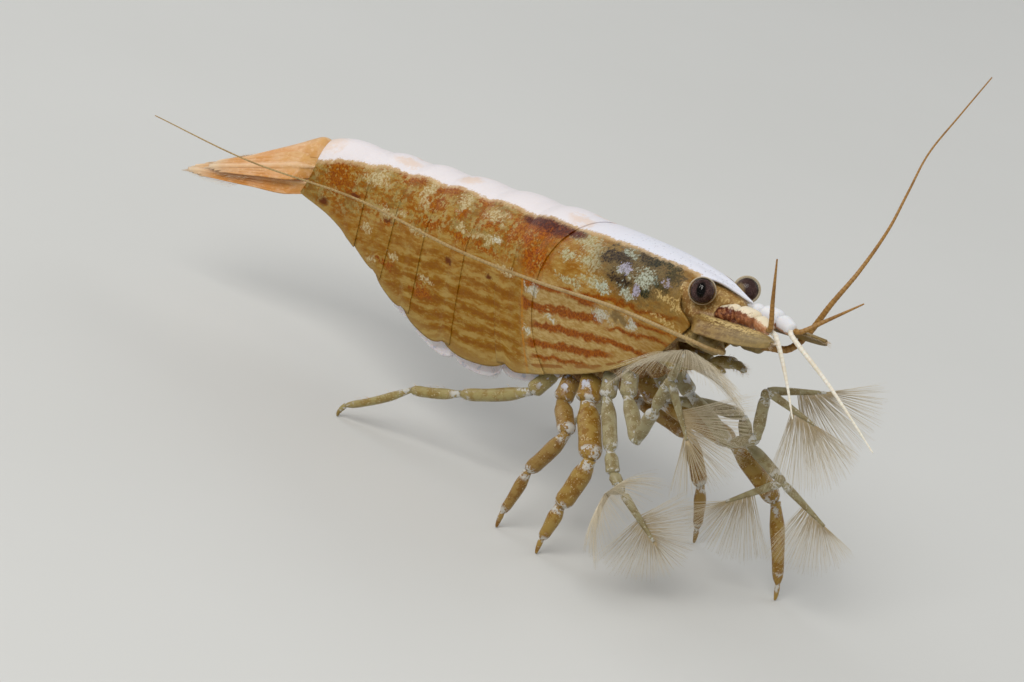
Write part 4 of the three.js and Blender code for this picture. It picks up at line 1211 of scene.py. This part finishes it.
# ---- arms with bristle fans
# Joints from the hip to the wrist.
ARMS = {
    "arm_1_right": (
        (9.8, -2.3, -10.7), (11.4, -3.6, -13.2), (15.6, -5.6, -16.2),
        (18.4, -6.6, -12.6), (19.7, -6.7, -10.0),
    ),
    "arm_2_right": (
        (7.6, -2.4, -11.4), (8.7, -3.6, -14.0), (11.9, -5.2, -18.0),
        (13.2, -5.7, -19.6), (14.0, -5.6, -20.4),
    ),
    "arm_1_left": (
        (9.8, 2.3, -10.7), (11.6, 3.6, -13.2), (16.0, 5.0, -16.8), (19.2, 5.2, -15.4), (19.9, 4.8, -11.4),
    ),
    "arm_2_left": (
        (7.6, 2.4, -11.4), (9.4, 3.7, -14.3), (14.5, 7.6, -14.6), (15.2, 7.9, -17.0), (19.6, 8.1, -19.0),
    ),
}
ARM_RADII = (0.75, 0.7, 0.6, 0.58, 0.48)
FINGER = 4.6
FINGER_BARE = 0.55  # share of the finger behind the fan's centre
FINGER_RADII = (0.42, 0.13)
KNUCKLE = 0.9  # length of the finger's root, hidden in the palm
# Finger direction, the direction that the bristles swing towards, their first and last angle from the
# finger, their reach, and how deeply the fan is dished, as a share of its reach.
FANS = {
    "fan_1_right_upper": ((0.68, -0.4, 0.62), (-0.67, -0.77, 0.06), (-84, 76), 6.6, -0.8),
    "fan_1_right_lower": ((0.39, 0.18, -0.9), (0.62, 0.78, 0.13), (-25, 95), 7.0, 0.16),
    "fan_2_right_upper": ((0.55, -0.81, 0.15), (0.34, 0.5, 0.79), (-84, 65), 5.8, 0.7),
    "fan_2_right_lower": ((0.55, 0.38, -0.75), (0.4, 0.68, 0.6), (-90, 95), 5.2, 0.16),
    "fan_1_left_upper": ((0.48, 0.86, 0.06), (0.2, -0.1, -1.0), (-8, 90), 7.4, 0.16),
    "fan_1_left_lower": ((0.86, 0.4, -0.4), (0.1, 0.1, -1.0), (-5, 85), 7.4, 0.16),
    "fan_2_left_upper": ((0.6, 0.5, -0.6), (-0.4, -0.3, -0.8), (-5, 95), 5.8, 0.16),
    "fan_2_left_lower": ((-0.6, -0.6, -0.45), (0.3, 0.3, -0.9), (-10, 90), 6.6, 0.16),
}
FAN_LAYERS = 3
BRISTLE_SPACING = 0.17  # along the rim, in each layer
BRISTLE_RADIUS = 0.019
TUFT = math.radians(3.4)  # the bristles gather in tufts this far apart


def fan(name, finger, spread, angles, reach, dish):
    """A finger and the bristles that spring from its end and its far half. The arm's name is the fan's
    without its last word."""
    points = ARMS["arm" + name.removeprefix("fan").rpartition("_")[0]]
    wrist = np.array(points[-1])
    palm = unit(wrist - np.array(points[-2]))
    along = unit(finger)
    across = unit(np.array(spread) - along * (np.array(spread) @ along))
    normal = np.cross(along, across)
    root = wrist + palm * 0.6 + along * 0.95
    centre = root + along * FINGER * FINGER_BARE
    joint = root - along * KNUCKLE
    u = np.linspace(0, 1, 24)
    path = joint + (FINGER + KNUCKLE) * 0.96 * along * u[:, None]
    width = lerp(*FINGER_RADII, u) * lerp(0.7, 1.0, smooth(u, 0, 0.12)) * (1 + 0.12 * np.sin(math.pi * u))
    digit = Solid()
    digit.tube(path, width, width * 0.75, across, 5 + u * 0.99, sides=14)
    digit.make(name + "_finger", ARM, "arm", [name])
    curtain = Solid()
    first, last = np.radians(angles)
    count = int((last - first) * reach / BRISTLE_SPACING)
    for layer in range(FAN_LAYERS):
        share = (np.arange(count) + rng.uniform(0.1, 0.9, count)) / count
        angle = lerp(first, last, share)
        angle = angle + 0.55 * (np.round(angle / TUFT) * TUFT - angle)
        back = np.clip(np.abs(angle) / max(abs(first), abs(last)), 0, 1)
        start = FINGER * lerp(1 - FINGER_BARE, -0.12, back) + rng.uniform(-0.3, 0.0, count)
        length = reach * rng.uniform(0.9, 1.0, count) * (1 - 0.12 * layer / FAN_LAYERS)
        rim = np.cos(angle)[:, None] * along + np.sin(angle)[:, None] * across
        u = np.linspace(0, 1, 10)[None, :, None]
        base = along * start[:, None]
        wander = rng.normal(0, 0.1, (count, 3))[:, None] * u * u
        wander = wander + rng.normal(0, 0.05, (count, 3))[:, None] * u
        flat = base[:, None] * (1 - u) + (rim * length[:, None])[:, None] * u
        depth = dish / reach * (length[:, None, None] * u) ** 2 * (1 - 0.16 * layer)
        depth = depth - (layer - 1) * 0.1 * u
        places = np.stack((0.02 + 0.95 * share, np.full(count, 0.2 + 0.3 * layer)), 1)
        curtain.strands(centre + flat - normal * depth + wander, BRISTLE_RADIUS, places)
    curtain.make(name + "_bristles", FAN_BRISTLE, "bristle", coat=True)


def arm(name, points):
    solid = Solid()
    articles(solid, points, ARM_RADII)
    wrist = np.array(points[-1])
    palm_end = wrist + unit(wrist - np.array(points[-2])) * 0.75
    u = np.linspace(0, 1, 14)
    swell = 0.48 * rounded_tip(u, 0, 0.02, 4)
    solid.tube(np.linspace(wrist, palm_end, 14), swell, swell, (0, 1, 0.2), 4 + 0.9 * u)
    solid.make(name + "_shell", ARM, "arm", [name])


# ---- head limbs
ANTENNULE_STALK = ((18.6, 1.25, -4.3), (21.4, 1.35, -3.5), (23.8, 1.35, -3.5), (25.5, 1.3, -3.95))
ANTENNA_STALK = ((16.4, 2.2, -6.2), (18.3, 2.3, -6.4), (20.9, 2.6, -6.6))
MAXILLIPED = ((12.3, 1.5, -9.3), (15.4, 2.0, -9.4), (18.6, 1.8, -8.6), (20.6, 1.2, -8.8))
ANTENNULE_STALK_RADII = (0.7, 0.9, 0.8, 0.55)
ANTENNA_STALK_RADII = (0.9, 0.95, 0.72)
MAXILLIPED_RADII = (0.7, 0.72, 0.55, 0.24)
MAXILLIPED_HAIRS = 160
MAXILLIPED_HAIR = 0.7  # length
OUTER_FLAGELLA = {
    "right": ((25.4, -1.5, -3.9), (26.0, -1.7, -3.6), (26.2, -2.1, -1.3), (26.8, -2.9, 2.6)),
    "left": ((25.4, 1.5, -4.0), (26.1, 1.75, -4.0), (27.3, 3.3, -2.8), (29.5, 5.4, -0.8)),
}
INNER_FLAGELLA = {
    "right": ((25.4, -1.2, -4.0), (26.1, -1.0, -4.4), (27.9, -0.9, -7.5), (29.1, -0.6, -10.8)),
    "left": ((25.4, 1.2, -4.0), (26.1, 1.0, -4.5), (29.7, 2.6, -7.9), (34.0, 4.6, -12.7)),
}
ANTENNA_FLAGELLA = {
    "right": (
        (20.7, -2.6, -6.6), (21.6, -2.8, -6.6), (22.6, -3.7, -6.5), (22.4, -5.0, -6.2), (20.4, -5.8, -5.8),
        (10.9, -6.3, -5.2), (1.0, -7.0, -5.2), (-7.6, -9.8, -4.1), (-17.3, -14.0, -1.6),
        (-27.8, -19.0, -0.2), (-36.3, -24.0, 2.3),
    ),
    "left": (
        (20.7, 2.6, -6.6), (21.4, 2.8, -6.5), (22.6, 4.1, -6.4), (23.6, 5.2, -4.8), (25.0, 6.0, -1.9),
        (25.8, 8.0, 1.2), (25.5, 11.0, 4.7), (24.8, 13.4, 7.8), (23.1, 17.0, 11.0), (22.3, 21.0, 14.3),
        (21.6, 25.0, 17.6),
    ),
}
# Radii of the feelers at shares of their length, from the root.
OUTER_RADII = ((0, 0.26), (0.25, 0.22), (1, 0.07))
INNER_RADII = ((0, 0.24), (0.3, 0.2), (1, 0.06))
LONG_RADII = {
    "right": ((0, 0.34), (0.05, 0.2), (0.3, 0.17), (0.6, 0.12), (1, 0.05)),
    "left": ((0, 0.36), (0.08, 0.33), (0.35, 0.18), (0.6, 0.11), (1, 0.06)),
}
LONG_FEELER = {"right": PALE_FEELER, "left": BROWN_FEELER}
RING = 0.38  # length of a feeler's rings
SCALE_ROOT = 15.7
SCALE_TIP = 27.9
SCALE_HALF_WIDTH = 1.25
SCALE_FRINGE = (0.7, 0.012)  # length and radius of the bristles


def flagellum(name, points, radii, material, slot):
    """A feeler of many short rings. radii gives its radius at shares of its length."""
    length = np.linalg.norm(np.diff(np.array(points, float), axis=0), axis=1).sum()
    count = int(length / RING) * 4
    u = np.linspace(0, 1, count)
    radius = profile(radii, u) * (1 + 0.035 * np.cos(2 * math.pi * np.arange(count) / 4))
    solid = Solid()
    solid.tube(curve_through(points, u), radius, radius, (0.35, 0.2, 1), u * length, sides=10)
    solid.make(name + "_rings", material, slot, [name])


def scale(name, sign, fringe):
    """The broad flat scale beside the long feeler's root: a crowned blade with thin edges."""

    def scale_at(u, v, lift=0.0):
        tip = rounded_tip(u, 0.6, 0.004, 2.4)
        tip = tip * lerp(0.4, 1.0, smooth(u, 0.05, 0.36))
        half = SCALE_HALF_WIDTH * (0.85 + 0.3 * np.sin(math.pi * (0.1 + 0.75 * u))) * tip
        y = sign * (3.45 + half * v * 0.85 - 0.25 * u - 1.1 * smooth(u, 0.36, 0.12))
        crown = 0.4 * (1 - v * v) * (1 - 0.4 * u) - 0.15 * np.maximum(v, 0) ** 2
        z = lerp(-4.95, -4.6, u) - 0.5 * v * tip + crown + lift
        return np.stack((lerp(SCALE_ROOT, SCALE_TIP, u) - 0.5 * v * u * tip, y, z), -1)

    u, v = blade_grid(0, 1, 90, 49)
    rib = 0.06 * ridge(v - 0.6, 0.12) + 0.05 * ridge(v + 0.9, 0.1)
    points = scale_at(u, v, rib * smooth(u, 1.0, 0.7))
    wall = 0.1 + 0.3 * (1 - v * v) * (1 - u)
    node = f"antenna_scale_{name}"
    sheet_piece(node + "_blade", points, (u, v, 0 * u), wall, CHEEK, "head_limb", node, sign)
    q = np.linspace(0, 1, 110)
    u_edge = lerp(0.35, 0.995, np.minimum(q * 1.3, 1))
    v_edge = np.where(q * 1.3 < 1, -0.98, lerp(-0.98, 0.9, (q * 1.3 - 1) / 0.3))
    edge = scale_at(u_edge, v_edge, -0.05)
    places = np.stack((0.02 + 0.9 * q, np.full(110, 0.5 + 0.2 * sign)), 1)
    add_fringe(fringe, edge, unit(edge - scale_at(u_edge - 0.1, 0 * q, -0.05)), *SCALE_FRINGE, places)


def head_limbs(name, sign, fringe, hairs):
    def side(points):
        return [(x, sign * y, z) for x, y, z in points]

    stalk = {"flat": 0.95, "flare": 1.03}
    points, radii = side(ANTENNULE_STALK), ANTENNULE_STALK_RADII
    jointed(f"antennule_stalk_{name}", points, radii, STALK, "head_limb", tone=(sign + 1) / 2, **stalk)
    points, radii = side(ANTENNA_STALK), ANTENNA_STALK_RADII
    jointed(f"antenna_stalk_{name}", points, radii, CHEEK, "head_limb", **stalk)
    flagellum(f"antennule_outer_{name}", OUTER_FLAGELLA[name], OUTER_RADII, BROWN_FEELER, "feeler")
    flagellum(f"antennule_inner_{name}", INNER_FLAGELLA[name], INNER_RADII, WHITE_FEELER, "white_feeler")
    flagellum(f"antenna_{name}", ANTENNA_FLAGELLA[name], LONG_RADII[name], LONG_FEELER[name], "feeler")
    jointed(f"maxilliped_{name}", side(MAXILLIPED), MAXILLIPED_RADII, OLIVE_LEG, "arm")
    row = 0.75 + 0.1 * sign
    add_hairs(hairs, side(MAXILLIPED[1:]), MAXILLIPED_RADII[1:], MAXILLIPED_HAIRS, MAXILLIPED_HAIR, row)
    scale(name, sign, fringe)


# ---- swimmerets
LEAF_WALL = 0.35
LEAF_BRISTLES = (0.45, 0.013)  # length and radius
# Half the width of each leaf, and how far it shows below the side plates.
SWIMMERETS = ((2.3, 0.8), (2.5, 1.25), (2.3, 1.25), (1.7, 0.8), (0.9, -0.3))


def swimmeret(k, name, sign, fringe):
    """A broad leaf under the belly, fringed with bristles."""
    broad, shown = SWIMMERETS[k - 1]
    middle = (JOINT_STATIONS[k - 1] + JOINT_STATIONS[k]) / 2

    def leaf_at(u, v, lift=0.0):
        half = broad * (0.6 + 0.4 * np.sin(math.pi * (0.1 + 0.7 * u))) * (1 + 0.5 * u)
        station = middle + 0.5 - 1.2 * u + half * v
        depth = profile(DEPTH, station)
        y = profile(HALF_WIDTH, station) * (0.39 + 0.12 * u) + lift + 0.18 * v * u
        drop = u * (1 - 0.1 * v ** 4)
        return body_point(station, sign * y, -lerp(depth * BELLY_SHARE + 0.5, depth + shown, drop))

    u, v = blade_grid(0, 1, 30, 41)
    fold = 0.1 * ridge(v, 0.2) + 0.03 * np.sin(v * 9)
    points, place = leaf_at(u, v, 0.2 + fold), (0.1 + 0.4 * u, v, 0 * u)
    node = f"swimmeret_{k}_{name}"
    sheet_piece(node + "_leaf", points, place, np.full(u.shape, LEAF_WALL), LEAF, "swimmeret", node, -sign)
    q = np.linspace(-1, 1, 70)
    edge = leaf_at(np.full(70, 0.99), q * 0.98)
    above = leaf_at(np.full(70, 0.8), q * 0.9)
    places = np.stack((0.1 * k + 0.03 * q, np.full(70, 0.5 + 0.2 * sign)), 1)
    add_fringe(fringe, edge, edge - above, *LEAF_BRISTLES, places)


# ---- the whole animal
def build_animal():
    carapace()
    for k in range(1, 7):
        plate(k)
    flesh()
    tail_fringe, scale_fringe, leaf_fringe, hairs = (Solid() for _ in range(4))
    telson(tail_fringe)
    for name, sign in SIDES:
        for part in UROPODS:
            uropod(part, name, sign, tail_fringe)
        eye(name, sign)
        head_limbs(name, sign, scale_fringe, hairs)
        for k in range(1, 6):
            swimmeret(k, name, sign, leaf_fringe)
    for row, (name, points) in enumerate(LEGS.items()):
        leg(name, points, hairs, 0.1 * row)
    for name, points in ARMS.items():
        arm(name, points)
    for name, values in FANS.items():
        fan(name, *values)
    tail_fringe.make("tail_fringe", FRINGE, "bristle", coat=True)
    scale_fringe.make("scale_fringe", FRINGE, "bristle", coat=True)
    leaf_fringe.make("swimmeret_fringe", LEAF_FRINGE, "bristle", coat=True)
    hairs.make("limb_hairs", FRINGE, "bristle", coat=True)


# ---- camera, floor and light
CAMERA_YAW = math.radians(-40.1)  # in the body frame: from the head's side of the right flank
CAMERA_ELEVATION = math.radians(11.49)
CAMERA_ROLL = math.radians(7.6)
CAMERA_DISTANCE = 345.0
LENS = 135.0
SENSOR = 36.0
ASIDE = (0.022059, 0.031172)  # the body's origin lies right of and above the view's middle, in radians
FLOOR_SIZE = 6.0  # in metres
BACKDROP = (226, 228, 230)
BACKDROP_STRENGTH = 0.55
# The lamps' places, sizes, powers and colours.
LAMPS = {
    "key": ((0.16, -0.34, 0.42), 0.3, 1.9, (1.0, 0.98, 0.95)),
    "fill": ((-0.4, -0.1, 0.25), 0.4, 0.6, (1, 1, 1)),
    "rim": ((0.1, 0.42, 0.3), 0.35, 0.6, (1, 1, 1)),
}


def make_camera():
    level, rise = math.cos(CAMERA_ELEVATION), math.sin(CAMERA_ELEVATION)
    back = np.array((level * math.cos(CAMERA_YAW), level * math.sin(CAMERA_YAW), rise))
    right = unit(np.cross((0, 0, 1), back))
    up = np.cross(back, right)
    right, up = (
        math.cos(CAMERA_ROLL) * right + math.sin(CAMERA_ROLL) * up,
        -math.sin(CAMERA_ROLL) * right + math.cos(CAMERA_ROLL) * up,
    )
    spot = CAMERA_DISTANCE * (back - right * ASIDE[0] - up * ASIDE[1])
    camera = add_object("camera", bpy.data.cameras.new("camera"))
    camera.data.lens = LENS
    camera.data.sensor_width = SENSOR
    camera.data.clip_start = 0.01
    axes = np.stack((right, up, back)) @ BODY_AXES
    placed = np.eye(4)
    placed[:3, :3] = axes.T
    placed[:3, 3] = to_world(spot)
    camera.matrix_world = Matrix(placed.tolist())
    bpy.context.scene.camera = camera


def make_floor():
    bpy.ops.mesh.primitive_plane_add(size=FLOOR_SIZE)
    floor = bpy.context.object
    floor.name = "floor"
    paint = Paint("floor", 0.7)
    tone = paint.noise(paint.node("TexCoord", 3), 14.0, 4.0)
    paint.set(Base_Color=paint.mix(tone, (198, 198, 194), (206, 206, 203)))
    floor.data.materials.append(paint.material)


def area_light(name, place, size, power, colour):
    """A soft square lamp at a place in metres, turned to the origin."""
    lamp = add_object(name, bpy.data.lights.new(name, "AREA"))
    lamp.data.size = size
    lamp.data.energy = power
    lamp.data.color = colour
    place = np.array(place, float)
    back = unit(place)
    right = unit(np.cross((0, 0, 1), back))
    lamp.matrix_world = Matrix(np.block([
        [np.stack((right, np.cross(back, right), back), 1), place[:, None]],
        [np.zeros((1, 3)), np.ones((1, 1))],
    ]).tolist())


def make_light():
    world = bpy.data.worlds.new("studio")
    bpy.context.scene.world = world
    world.use_nodes = True
    backdrop = world.node_tree.nodes["Background"]
    backdrop.inputs["Color"].default_value = srgb(*BACKDROP)
    backdrop.inputs["Strength"].default_value = BACKDROP_STRENGTH
    for name, values in LAMPS.items():
        area_light(name, *values)


build_animal()
make_camera()
make_floor()
make_light()
bpy.context.scene.view_settings.view_transform = "Standard"
